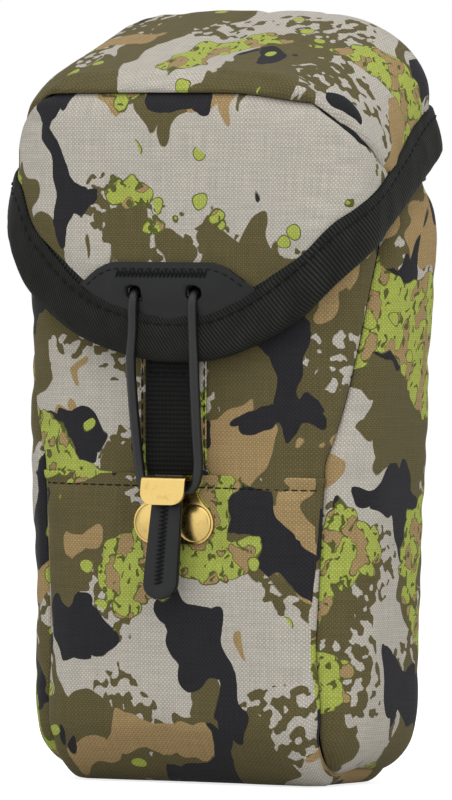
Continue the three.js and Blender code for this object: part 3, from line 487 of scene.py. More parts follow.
@dataclass(frozen=True)
class BraidedElastic:
    """Polyester braid over rubber: strands cross in a fine diamond pattern with a slight shine, with painted
    highlight on the strands' crests and painted shade between them.
    """

    name: str = "braided_elastic"
    # The valley colour is painted shade between the strands; the crest colour is a painted highlight on them.
    valley: str = "#0b0c0c"
    crest_highlight: str = "#191a1a"
    braid_pitch: float = 0.7
    roughness: float = 0.32

    def make(self) -> bpy.types.Material:
        """Makes the braid's material.

        Returns:
            The material.
        """
        graph = Graph(self.name)
        parts = graph.node("ShaderNodeSeparateXYZ", links={0: graph.cloth_place()})
        turn = 2 * math.pi / self.braid_pitch
        right = graph.math("ADD", parts.outputs[0], parts.outputs[1])
        left = graph.math("SUBTRACT", parts.outputs[0], parts.outputs[1])
        one = graph.math("SINE", graph.math("MULTIPLY", right, turn))
        two = graph.math("SINE", graph.math("MULTIPLY", left, turn))
        height = graph.math("MAXIMUM", one, two)
        # Painted light: darker where the strands dip, lighter where they rise.
        share = graph.math("ADD", graph.math("MULTIPLY", height, 0.5), 0.5, clamp=True)
        colour = graph.mix(share, linear(self.valley), linear(self.crest_highlight))
        more = {"Roughness": self.roughness, "Specular IOR Level": 0.3}
        return graph.surface(colour, height, 0.25, 0.1, more)


@dataclass(frozen=True)
class FineCloth:
    """Coated lining cloth or sewing thread: one dull colour broken by a fine grain."""

    name: str
    colour: str
    shade: str
    grain: float = 0.6
    roughness: float = 0.85

    def make(self) -> bpy.types.Material:
        """Makes the material.

        Returns:
            The material.
        """
        graph = Graph(self.name)
        place = graph.node("ShaderNodeTexCoord").outputs["Object"]
        grain = graph.node(
            "ShaderNodeTexNoise", links={"Vector": place, "Scale": 1.0 / (self.grain * MM), "Detail": 2.0}
        )
        colour = graph.mix(grain.outputs[0], linear(self.shade), linear(self.colour))
        more = {"Roughness": self.roughness, "Specular IOR Level": 0.1}
        return graph.surface(colour, grain.outputs[0], 0.3, 0.1, more)


@dataclass(frozen=True)
class Finishes:
    """Every finish that more than one sub-assembly uses, made once."""

    cloth: CamouflageCloth
    tape: bpy.types.Material
    webbing: bpy.types.Material
    leather: bpy.types.Material
    brass: bpy.types.Material
    elastic: bpy.types.Material
    lining: bpy.types.Material
    thread: bpy.types.Material

    @staticmethod
    def make() -> "Finishes":
        """Makes the shared materials."""
        return Finishes(
            cloth=CamouflageCloth(),
            tape=RibbedTape("binding_tape").make(),
            # The webbing's valley and crest colours carry painted shade and a painted highlight.
            webbing=RibbedTape(
                "webbing", slant=90.0, rib_pitch=1.15, cross_pitch=1.0, valley="#0b0c0b", crest_highlight="#232522"
            ).make(),
            leather=FinishedLeather().make(),
            brass=PolishedBrass().make(),
            elastic=BraidedElastic().make(),
            lining=FineCloth("lining_cloth", "#2b2c2e", "#1a1b1c").make(),
            thread=FineCloth("sewing_thread", "#1c1d1f", "#0a0b0c", 0.25, 0.7).make(),
        )


# ---------------------------------------------------------------- meshes


def to_metres(points: Array) -> Array:
    """Turns drawing points in millimetres to the CAD frame in metres."""
    moved = np.array(points, float)
    moved[..., 1] += ORIGIN_SHIFT
    return moved * MM


def grid_piece(name: str, points: Array, places: Array, wrap: bool = False) -> bpy.types.Object:
    """Makes a mesh from a grid of points, with its place on the flat cloth as its map.

    Args:
        name: the piece's name.
        points: rows by columns of points in drawing millimetres, rows running down.
        places: rows by columns of flat places in millimetres.
        wrap: True where the last column joins the first.

    Returns:
        The new object, in the scene.
    """
    rows, columns = points.shape[:2]
    faces = []
    for row in range(rows - 1):
        for column in range(columns if wrap else columns - 1):
            after = (column + 1) % columns
            corners = (row * columns + column, (row + 1) * columns + column)
            faces.append((*corners, (row + 1) * columns + after, row * columns + after))
    mesh = bpy.data.meshes.new(name)
    mesh.from_pydata(to_metres(points).reshape(-1, 3).tolist(), [], faces)
    layer = mesh.uv_layers.new(name=CLOTH_MAP)
    flat = places.reshape(-1, 2)
    order = np.zeros(len(mesh.loops), dtype=np.int64)
    mesh.loops.foreach_get("vertex_index", order)
    values = flat[order]
    if wrap:
        values = _unwrapped(values, flat, faces, columns)
    layer.data.foreach_set("uv", values.astype(np.float32).ravel())
    piece = bpy.data.objects.new(name, mesh)
    bpy.context.scene.collection.objects.link(piece)
    smooth(piece)
    return piece


def _unwrapped(values: Array, flat: Array, faces: Sequence[tuple], columns: int) -> Array:
    """Keeps the map whole where a wrapped grid's last column joins its first.

    Args:
        values: one place for each corner of each face.
        flat: one place for each vertex.
        faces: the grid's faces.
        columns: how many columns the grid has.

    Returns:
        The places, with the joining faces given the next turn's places.
    """
    values = values.copy()
    for number, face in enumerate(faces):
        if face[0] % columns == columns - 1:
            row = face[0] // columns
            step = flat[row * columns + columns - 1] - flat[row * columns + columns - 2]
            for corner in (2, 3):
                source = flat[face[0] if corner == 3 else face[1]]
                values[number * 4 + corner] = source + step
    return values


def smooth(piece: bpy.types.Object) -> None:
    """Shades a piece smooth."""
    for face in piece.data.polygons:
        face.use_smooth = True


def bake(piece: bpy.types.Object) -> bpy.types.Object:
    """Turns a piece's modifiers into its mesh.

    Args:
        piece: the object with its modifiers.

    Returns:
        The same object, with none left.
    """
    graph = bpy.context.evaluated_depsgraph_get()
    mesh = bpy.data.meshes.new_from_object(piece.evaluated_get(graph))
    mesh.name = piece.name
    piece.modifiers.clear()
    piece.data = mesh
    return piece


def thicken(
    piece: bpy.types.Object,
    thickness: float,
    levels: int = 0,
    rounding: float = 0.0,
    centred: bool = False,
) -> bpy.types.Object:
    """Gives a sheet its thickness, inwards from its face.

    Args:
        piece: a sheet facing out.
        thickness: in millimetres; negative grows outwards.
        levels: how many times the sheet is subdivided first.
        rounding: radius of the worn edges in millimetres.
        centred: True where it grows to both sides of the sheet.

    Returns:
        The same object, closed.
    """
    if levels:
        subdivide = piece.modifiers.new("subdivide", "SUBSURF")
        subdivide.levels = levels
        subdivide.boundary_smooth = "PRESERVE_CORNERS"
    solid = piece.modifiers.new("thickness", "SOLIDIFY")
    solid.thickness = abs(thickness) * MM
    solid.offset = 0.0 if centred else -math.copysign(1.0, thickness)
    if rounding:
        edge = piece.modifiers.new("worn_edge", "BEVEL")
        edge.width = rounding * MM
        edge.segments = 2
        edge.limit_method = "ANGLE"
        edge.angle_limit = math.radians(50)
    bake(piece)
    smooth(piece)
    return piece


def grid_normals(points: Array, wrap: bool = False) -> Array:
    """Unit normals of a grid of points whose rows run down and whose face is outwards.

    Args:
        points: rows by columns of points.
        wrap: True where the last column joins the first.

    Returns:
        One normal for each point.
    """
    down = np.gradient(points, axis=0)
    if wrap:
        around = (np.roll(points, -1, axis=1) - np.roll(points, 1, axis=1)) / 2
    else:
        around = np.gradient(points, axis=1)
    normals = np.cross(down, around)
    length = np.linalg.norm(normals, axis=-1, keepdims=True)
    return normals / np.maximum(length, 1e-9)


@dataclass(frozen=True)
class ClothSettling:
    """How a padded panel's cloth is inflated and left to settle between its seams."""

    pressure: float = 3.0
    slack: float = 0.012
    stiffness: float = 12.0
    bending: float = 6.0
    frames: int = 22
    cap: float = 1.6

    def run(self, piece: bpy.types.Object, pinned: Iterable[int]) -> None:
        """Simulates the cloth, holds its pinned points, and keeps the result in the mesh.

        Args:
            piece: the panel's sheet, facing out.
            pinned: numbers of the vertices along its seams.
        """
        held = sorted(set(pinned))
        rest = np.array([v.co for v in piece.data.vertices], float)
        piece.data.transform(Matrix.Scale(SIM_SCALE, 4))
        pins = piece.vertex_groups.new(name="seams")
        pins.add(held, 1.0, "REPLACE")
        cloth = piece.modifiers.new("settling", "CLOTH")
        cloth.settings.quality = 6
        cloth.settings.mass = 0.3
        cloth.settings.tension_stiffness = self.stiffness
        cloth.settings.compression_stiffness = self.stiffness
        cloth.settings.shear_stiffness = self.stiffness / 3
        cloth.settings.bending_stiffness = self.bending
        cloth.settings.vertex_group_mass = pins.name
        cloth.settings.use_pressure = True
        cloth.settings.uniform_pressure_force = self.pressure
        cloth.settings.shrink_min = -self.slack
        cloth.settings.shrink_max = -self.slack
        cloth.settings.effector_weights.gravity = 0.0
        cloth.collision_settings.use_collision = False
        cloth.point_cache.frame_start = 1
        cloth.point_cache.frame_end = self.frames
        scene = bpy.context.scene
        for frame in range(1, self.frames + 1):
            scene.frame_set(frame)
        graph = bpy.context.evaluated_depsgraph_get()
        settled = piece.evaluated_get(graph).data
        found = np.array([v.co for v in settled.vertices], float) / SIM_SCALE
        scene.frame_set(1)
        piece.modifiers.remove(cloth)
        piece.vertex_groups.remove(pins)
        move = found - rest
        length = np.linalg.norm(move, axis=1, keepdims=True)
        limit = self.cap * MM
        move *= np.where(length > 1e-9, limit * np.tanh(length / limit) / np.maximum(length, 1e-9), 0.0)
        piece.data.vertices.foreach_set("co", (rest + move).astype(np.float32).ravel())
        piece.data.update()
        log.info("%s settled, largest move %.2f mm", piece.name, float(length.max()) / MM)


def border(rows: int, columns: int, depth: int = 1) -> list[int]:
    """Vertex numbers within some rows or columns of a grid's edge."""
    return [
        row * columns + column
        for row in range(rows)
        for column in range(columns)
        if min(row, column, rows - 1 - row, columns - 1 - column) < depth
    ]


class Surface:
    """A finished piece's surface, on which other pieces are laid."""

    def __init__(self, *pieces: bpy.types.Object) -> None:
        """Keeps the triangles of the pieces."""
        graph = bpy.context.evaluated_depsgraph_get()
        self.trees = [BVHTree.FromObject(piece, graph) for piece in pieces]

    def front(self, x: float, z: float, default: float = -30.0) -> float:
        """Depth in drawing millimetres of the first surface met from the front.

        Args:
            x: across, in drawing millimetres.
            z: height in drawing millimetres.
            default: the depth given where nothing is met.

        Returns:
            The depth.
        """
        return self._cast(x, z, -1.0, default)

    def back(self, x: float, z: float, default: float = 30.0) -> float:
        """Depth in drawing millimetres of the first surface met from behind."""
        return self._cast(x, z, 1.0, default)

    def _cast(self, x: float, z: float, side: float, default: float) -> float:
        """Casts one ray along the depth from that side."""
        start = Vector((x * MM, side * 0.3, z * MM))
        hits = [tree.ray_cast(start, Vector((0.0, -side, 0.0)))[0] for tree in self.trees]
        depths = [hit.y / MM - ORIGIN_SHIFT for hit in hits if hit is not None]
        if not depths:
            return default
        return min(depths) if side < 0 else max(depths)


def catmull_rom(points: Array, steps: int, closed: bool = False) -> Array:
    """Smooth curve through points.

    Args:
        points: the points, one a row.
        steps: how many pieces each span is cut into.
        closed: True where the last point joins the first.

    Returns:
        The points of the curve.
    """
    points = np.asarray(points, float)
    count = len(points)
    spans = count if closed else count - 1
    result = []
    for span in range(spans):
        if closed:
            before, start, end, after = (points[(span + k) % count] for k in (-1, 0, 1, 2))
        else:
            before, start = points[max(span - 1, 0)], points[span]
            end, after = points[span + 1], points[min(span + 2, count - 1)]
        for step in range(steps):
            t = step / steps
            result.append(
                0.5
                * (
                    2 * start
                    + (end - before) * t
                    + (2 * before - 5 * start + 4 * end - after) * t**2
                    + (3 * start - before - 3 * end + after) * t**3
                )
            )
    if not closed:
        result.append(points[-1])
    return np.array(result)


def tube_piece(
    name: str, path: Array, radius: float | Array, sides: int = 14, capped: bool = True
) -> bpy.types.Object:
    """Makes a round tube along a path, mapped in millimetres along and around.

    Args:
        name: the piece's name.
        path: points in drawing millimetres.
        radius: one radius, or one for each point.
        sides: corners of the section.
        capped: True where the ends are closed with rounded tips.

    Returns:
        The tube.
    """
    path = np.asarray(path, float)
    radii = np.full(len(path), radius, float) if np.isscalar(radius) else np.asarray(radius, float)
    if capped:
        path, radii = _rounded_ends(path, radii)
    tangents = np.gradient(path, axis=0)
    tangents /= np.maximum(np.linalg.norm(tangents, axis=1, keepdims=True), 1e-9)
    normal = np.cross(tangents[0], (0.0, 0.0, 1.0))
    if np.linalg.norm(normal) < 1e-3:
        normal = np.cross(tangents[0], (1.0, 0.0, 0.0))
    rings = []
    along = np.concatenate([[0.0], np.cumsum(np.linalg.norm(np.diff(path, axis=0), axis=1))])
    places = []
    angles = np.linspace(0.0, 2 * math.pi, sides + 1)
    for index, (point, tangent) in enumerate(zip(path, tangents)):
        normal = normal - tangent * np.dot(normal, tangent)
        normal /= max(np.linalg.norm(normal), 1e-9)
        side = np.cross(tangent, normal)
        ring = [point + radii[index] * (math.cos(a) * normal + math.sin(a) * side) for a in angles]
        rings.append(ring)
        places.append([(along[index], a * float(radii.max())) for a in angles])
    piece = grid_piece(name, np.array(rings), np.array(places))
    weld(piece)
    return piece


def _rounded_ends(path: Array, radii: Array) -> tuple[Array, Array]:
    """Adds a few shrinking rings to both ends of a tube."""
    heads, tails, head_radii, tail_radii = [], [], [], []
    first = path[0] - path[1]
    last = path[-1] - path[-2]
    first /= np.linalg.norm(first)
    last /= np.linalg.norm(last)
    for angle in (80, 60, 35):
        reach = math.sin(math.radians(angle))
        shrink = max(math.cos(math.radians(angle)), 0.02)
        heads.append(path[0] + first * radii[0] * reach)
        head_radii.append(radii[0] * shrink)
        tails.insert(0, path[-1] + last * radii[-1] * reach)
        tail_radii.insert(0, radii[-1] * shrink)
    return np.array([*heads, *path, *tails]), np.array([*head_radii, *radii, *tail_radii])


def weld(piece: bpy.types.Object, distance: float = 0.004, closed: bool = True) -> None:
    """Merges points that lie together.

    Args:
        piece: the piece to mend.
        distance: in millimetres.
        closed: True to close its open ends too, and to turn its faces out.
    """
    work = bmesh.new()
    work.from_mesh(piece.data)
    bmesh.ops.remove_doubles(work, verts=work.verts, dist=distance * MM)
    if closed:
        open_edges = [edge for edge in work.edges if edge.is_boundary]
        bmesh.ops.holes_fill(work, edges=open_edges, sides=0)
        bmesh.ops.recalc_face_normals(work, faces=work.faces)
    work.to_mesh(piece.data)
    work.free()
    smooth(piece)


def joined(name: str, pieces: Sequence[bpy.types.Object]) -> bpy.types.Object:
    """Joins pieces into one mesh object.

    Args:
        name: the new piece's name.
        pieces: the pieces, which are used up.

    Returns:
        The joined piece.
    """
    work = bmesh.new()
    for piece in pieces:
        work.from_mesh(piece.data)
    mesh = bpy.data.meshes.new(name)
    work.to_mesh(mesh)
    work.free()
    for piece in pieces:
        bpy.data.objects.remove(piece)
    result = bpy.data.objects.new(name, mesh)
    bpy.context.scene.collection.objects.link(result)
    smooth(result)
    return result


def dress(
    piece: bpy.types.Object,
    material: bpy.types.Material,
    body: Body | None,
    stands_for: Sequence[str] = (),
) -> bpy.types.Object:
    """Gives a piece its material, hides what it stands for, and sets it on its body.

    Args:
        piece: the finished piece.
        material: its material.
        body: the body it rides on, or None to leave it on no body.
        stands_for: CAD nodes that it replaces.

    Returns:
        The same piece.
    """
    piece.data.materials.clear()
    piece.data.materials.append(material)
    if stands_for:
        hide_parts(*stands_for)
    if body is not None:
        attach(piece, body.value)
    log.info("%s: %d faces", piece.name, len(piece.data.polygons))
    return piece


@dataclass(frozen=True)
class StitchRow:
    """A row of lockstitches: short raised threads, each sunk at both ends."""

    name: str
    pitch: float = 2.9
    length: float = 2.2
    radius: float = 0.27
    sink: float = 0.12

    def make(self, path: Array, normals: Array) -> bpy.types.Object:
        """Makes the row along a path.

        Args:
            path: points on the surface in drawing millimetres.
            normals: one outward normal for each point.

        Returns:
            All the stitches as one piece.
        """
        path = np.asarray(path, float)
        along = np.concatenate([[0.0], np.cumsum(np.linalg.norm(np.diff(path, axis=0), axis=1))])
        pieces = []
        start = self.pitch / 2
        number = 0
        while start + self.length < along[-1]:
            shares = np.linspace(start, start + self.length, 7)
            points = np.stack([np.interp(shares, along, path[:, axis]) for axis in range(3)], axis=1)
            faces = np.stack([np.interp(shares, along, normals[:, axis]) for axis in range(3)], axis=1)
            lift = self.radius * 1.1 * np.sin(np.linspace(0, math.pi, 7)) - self.sink
            points = points + faces * lift[:, None]
            radii = self.radius * (0.6 + 0.4 * np.sin(np.linspace(0, math.pi, 7)))
            pieces.append(tube_piece(f"{self.name}_{number}", points, radii, 6))
            start += self.pitch
            number += 1
        return joined(self.name, pieces)

    def sew(self, path: Array, finishes: Finishes, slot: Slot, body: Body, facing: float = -1.0) -> None:
        """Makes the row on a face that looks to the front, or with a facing of 1 to the back.

        Args:
            path: points on the surface in drawing millimetres.
            finishes: the finishes, for its thread.
            slot: not used.
            body: the body that carries the row.
            facing: the direction of the face along y.
        """
        normals = np.tile((0.0, facing, 0.0), (len(path), 1))
        dress(self.make(path, normals), finishes.thread, body)


# ---------------------------------------------------------------- forms


def ramp(value: float | Array, start: float, end: float) -> float | Array:
    """Smooth step from zero to one between two values."""
    share = np.clip((np.asarray(value, float) - start) / (end - start), 0.0, 1.0)
    return share * share * (3 - 2 * share)


def edge_distances(points: Array) -> dict[str, Array]:
    """Distances along a grid from each of its four borders, in millimetres."""
    across = np.linalg.norm(np.diff(points, axis=1), axis=-1)
    down = np.linalg.norm(np.diff(points, axis=0), axis=-1)
    left = np.concatenate([np.zeros((len(points), 1)), np.cumsum(across, axis=1)], axis=1)
    top = np.concatenate([np.zeros((1, points.shape[1])), np.cumsum(down, axis=0)], axis=0)
    return {"left": left, "right": left[:, -1:] - left, "top": top, "bottom": top[-1:] - top}


def grid_noise(places: Array, size: float, seed: float) -> Array:
    """Smooth noise from -1 to 1 at each place of a grid.

    Args:
        places: points in millimetres.
        size: width of the lumps in millimetres.
        seed: moves the noise.

    Returns:
        One value for each point.
    """
    flat = places.reshape(-1, places.shape[-1]) / size
    values = [noise.noise(Vector((p[0] + seed, p[1] - seed, p[2] if len(p) > 2 else seed))) for p in flat]
    return np.array(values).reshape(places.shape[:-1])


@dataclass(frozen=True)
class PanelRelief:
    """How a padded panel swells between its seams, dips at them, and puckers beside them."""

    sewn: tuple[str, ...] = ("left", "right")
    swell: float = 0.6
    valley: float = 1.3
    valley_width: float = 1.3
    lumps: float = 0.5
    lump_size: float = 19.0
    puckers: float = 0.16
    pucker_pitch: float = 5.5
    seed: float = 1.0

    def apply(self, points: Array) -> Array:
        """Moves a grid's points along their normals.

        Args:
            points: the panel's grid.

        Returns:
            The moved grid.
        """
        normals = grid_normals(points)
        distances = edge_distances(points)
        nearest = np.full(points.shape[:2], 1e3)
        for side in self.sewn:
            nearest = np.minimum(nearest, distances[side])
        rise = self.swell * (1 - np.exp(-nearest / 9))
        rise -= self.valley * np.exp(-((nearest / self.valley_width) ** 2))
        rise += self.lumps * grid_noise(points, self.lump_size, self.seed) * (1 - np.exp(-nearest / 5))
        pucker = grid_noise(points, self.pucker_pitch, self.seed + 7.3)
        rise += self.puckers * pucker * np.exp(-((nearest - 3.0) ** 2) / 14)
        return points + normals * rise[..., None]


@dataclass(frozen=True)
class BodyForm:
    """Outer cloth of the body: an upright box with round corners, a rolled base and a fuller belly."""

    base_half_width: float = 43.8
    belly_half_width: float = 46.4
    mouth_half_width: float = 43.4
    base_half_depth: float = 25.4
    belly_half_depth: float = 27.2
    mouth_half_depth: float = 26.4
    belly_height: float = 132.0
    mouth_height: float = 152.0
    mouth_tilt: float = 0.2
    corner: float = 12.0
    crown: float = 0.8
    base_roll: float = 12.5
    seam_depth: float = 23.79
    seam_corner: float = 12.0
    seam_low: float = 2.64
    slide_heights: tuple[float, ...] = (14.0, 34.0, 80.0, 103.4, 121.6, 152.0)
    slides: tuple[float, ...] = (0.0, -0.05, -0.05, 0.18, 0.42, 0.92)
    squeeze: float = 0.1
    squeeze_height: float = 22.0

    def half_size(self, height: float) -> tuple[float, float]:
        """Half width and half depth at a height."""
        if height <= self.belly_height:
            share = max(height, 0.0) / self.belly_height
            width = self.base_half_width + share * (self.belly_half_width - self.base_half_width)
            depth = self.base_half_depth + share * (self.belly_half_depth - self.base_half_depth)
            return width, depth
        share = float(ramp(height, self.belly_height, self.mouth_height))
        width = self.belly_half_width + share * (self.mouth_half_width - self.belly_half_width)
        depth = self.belly_half_depth + share * (self.mouth_half_depth - self.belly_half_depth)
        return width, depth

    def side_x(self, y: float, height: float) -> float:
        """Half width of the body's side at a depth and a height."""
        width, depth = self.half_size(height)
        inset = 0.0
        if height < self.base_roll:
            inset = self.base_roll - math.sqrt(max(self.base_roll**2 - (self.base_roll - height) ** 2, 0.0))
        radius = self.corner - inset
        beyond = max(0.0, abs(y) - (depth - self.corner))
        return width - self.corner + math.sqrt(max(radius**2 - beyond**2, 0.0))

    def front_seam(self, height: float) -> float:
        """Depth of the seam between the front panel and a gusset: it slides back near the mouth."""
        slide = float(np.interp(height, self.slide_heights, self.slides))
        return -self.seam_depth * (1 - slide)

    def tilted(self, points: Array) -> Array:
        """Raises the back near the mouth, as its rim slopes, and draws the base in all round."""
        points = points.copy()
        low = np.clip(1 - points[..., 2] / self.squeeze_height, 0.0, 1.0)
        points[..., :2] *= (1 - self.squeeze * low**2)[..., None]
        points[..., 2] += self.mouth_tilt * points[..., 1] * ramp(points[..., 2], 112.0, self.mouth_height)
        return points

    def _section(self, u: Array, width: float, radius: float, drop: float) -> tuple[Array, Array]:
        """One row across a wrapped panel: places across, and how far each falls back of the whole."""
        turn = math.acos(max(-1.0, 1 - drop / radius)) if drop < radius else math.pi / 2
        flat = width - radius
        reach = flat + radius * turn + max(0.0, drop - radius)
        along = np.abs(u) * reach
        angle = np.clip((along - flat) / radius, 0.0, math.pi / 2)
        x = np.where(along <= flat, along, flat + radius * np.sin(angle))
        fall = radius * (1 - np.cos(angle)) + np.maximum(0.0, along - flat - radius * math.pi / 2)
        return np.sign(u) * x, np.minimum(fall / drop, 1.0)

    def wrap(self, columns: int, top: float = 152.0, step: float = 2.0, part: str = "front") -> Array:
        """Grid of the front panel, which runs down the front and under the base, or of the back.

        Args:
            columns: how many columns the grid has.
            top: height of the first row.
            step: distance between rows in millimetres.
            part: "front", "back" or "pocket", which stops under the base's front roll.

        Returns:
            The grid, rows running down.
        """
        u = np.linspace(-1.0, 1.0, columns)
        sign = 1.0 if part == "back" else -1.0
        rows = []
        for height in np.linspace(top, self.base_roll, round((top - self.base_roll) / step) + 1):
            width, depth = self.half_size(height)
            seam = self.seam_depth if part == "back" else -self.front_seam(height)
            x, fall = self._section(u, width, self.corner, max(depth - seam, 0.5))
            lift = self.seam_corner + self.seam_low - self.base_roll
            lift *= 1 - ramp(height, self.base_roll, 34.0)
            crown = self.crown * np.cos(math.pi / 2 * np.minimum(1, np.abs(x) / width)) if sign < 0 else 0.0
            y = sign * (depth + crown - fall * (depth - seam))
            rows.append(np.stack([x, y, height + fall * lift], axis=1))
        if part != "back":
            rows += self._base_rows(u, step, part == "pocket")
        grid = np.array(rows)
        if part == "back":
            grid = grid[:, ::-1]
        return self.tilted(grid)

    def _base_rows(self, u: Array, step: float, pocket: bool) -> list[Array]:
        """Rows of the front panel from the base's front roll, under the base, to its back roll."""
        width, depth = self.half_size(0.0)
        flat_depth = depth - self.base_roll
        seam_flat = self.seam_depth - self.seam_corner
        seam_high = self.seam_low + self.seam_corner
        turns = np.linspace(0, 90, 9)[1:]

        def rolled_under(turn: float, sign: float) -> tuple[tuple, tuple, float]:
            """Middle and edge of a row on the front roll, sign -1, or on the back roll, sign 1."""
            c, s = math.cos(math.radians(turn)), math.sin(math.radians(turn))
            near = (sign * (flat_depth + self.base_roll * c), self.base_roll * (1 - s))
            far = (sign * (seam_flat + self.seam_corner * c), seam_high - self.seam_corner * s)
            return near, far, turn / 90

        places = [rolled_under(turn, -1.0) for turn in turns]
        if not pocket:
            for share in np.linspace(0, 1, int(2 * flat_depth / (2 * step)))[1:-1]:
                near = (flat_depth * (2 * share - 1), 0.0)
                far = (seam_flat * (2 * share - 1), self.seam_low)
                places.append((near, far, 1.0))
            places += [rolled_under(turn, 1.0) for turn in [*turns[::-1], 0.0]]
        rows = []
        for near, far, rolled in places:
            radius = self.corner + (self.base_roll - self.corner) * rolled
            turn = math.radians(30 + 15 * rolled)
            drop = radius * (1 - math.cos(turn))
            x, fall = self._section(u, width, radius, drop)
            crown = self.crown * (1 - rolled) * np.cos(math.pi / 2 * np.minimum(1, np.abs(x) / width))
            y = near[0] + fall * (far[0] - near[0]) - (crown if near[0] < 0 else 0.0)
            z = near[1] + fall * (far[1] - near[1])
            rows.append(np.stack([x, y, z * np.ones_like(x)], axis=1))
        return rows

    def gusset(self, side: int, columns: int, step: float = 2.0) -> Array:
        """Grid of a side gusset from the mouth to its rounded bottom.

        Args:
            side: 1 for the right one, -1 for the left one.
            columns: how many columns the grid has.
            step: distance between rows in millimetres.

        Returns:
            The grid, rows running down and columns from the viewer's left to right.
        """
        u = np.linspace(-1.0, 1.0, columns)
        high = self.seam_low + self.seam_corner
        ends = [(self.front_seam(h), self.seam_depth, h) for h in np.arange(self.mouth_height, high, -step)]
        for turn in np.linspace(0, 90, 12):
            reach = self.seam_depth - self.seam_corner + self.seam_corner * math.cos(math.radians(turn))
            ends.append((-reach, reach, high - self.seam_corner * math.sin(math.radians(turn))))
        rows = []
        for start, end, height in ends:
            y = start + (end - start) * (u + 1) / 2
            x = np.array([self.side_x(place, height) for place in y])
            rows.append(np.stack([x, y, np.full_like(y, height)], axis=1))
        grid = self.tilted(np.array(rows))
        if side < 0:
            grid = grid[:, ::-1].copy()
            grid[..., 0] *= -1
        return grid


def flat_map(points: Array) -> Array:
    """Places of a grid laid flat: lengths along its middle row and down its middle column."""
    distances = edge_distances(points)
    left = distances["left"] - distances["left"][:, points.shape[1] // 2][:, None]
    top = distances["top"][:, points.shape[1] // 2][:, None] * np.ones_like(left)
    return np.stack([left, -top], axis=-1)


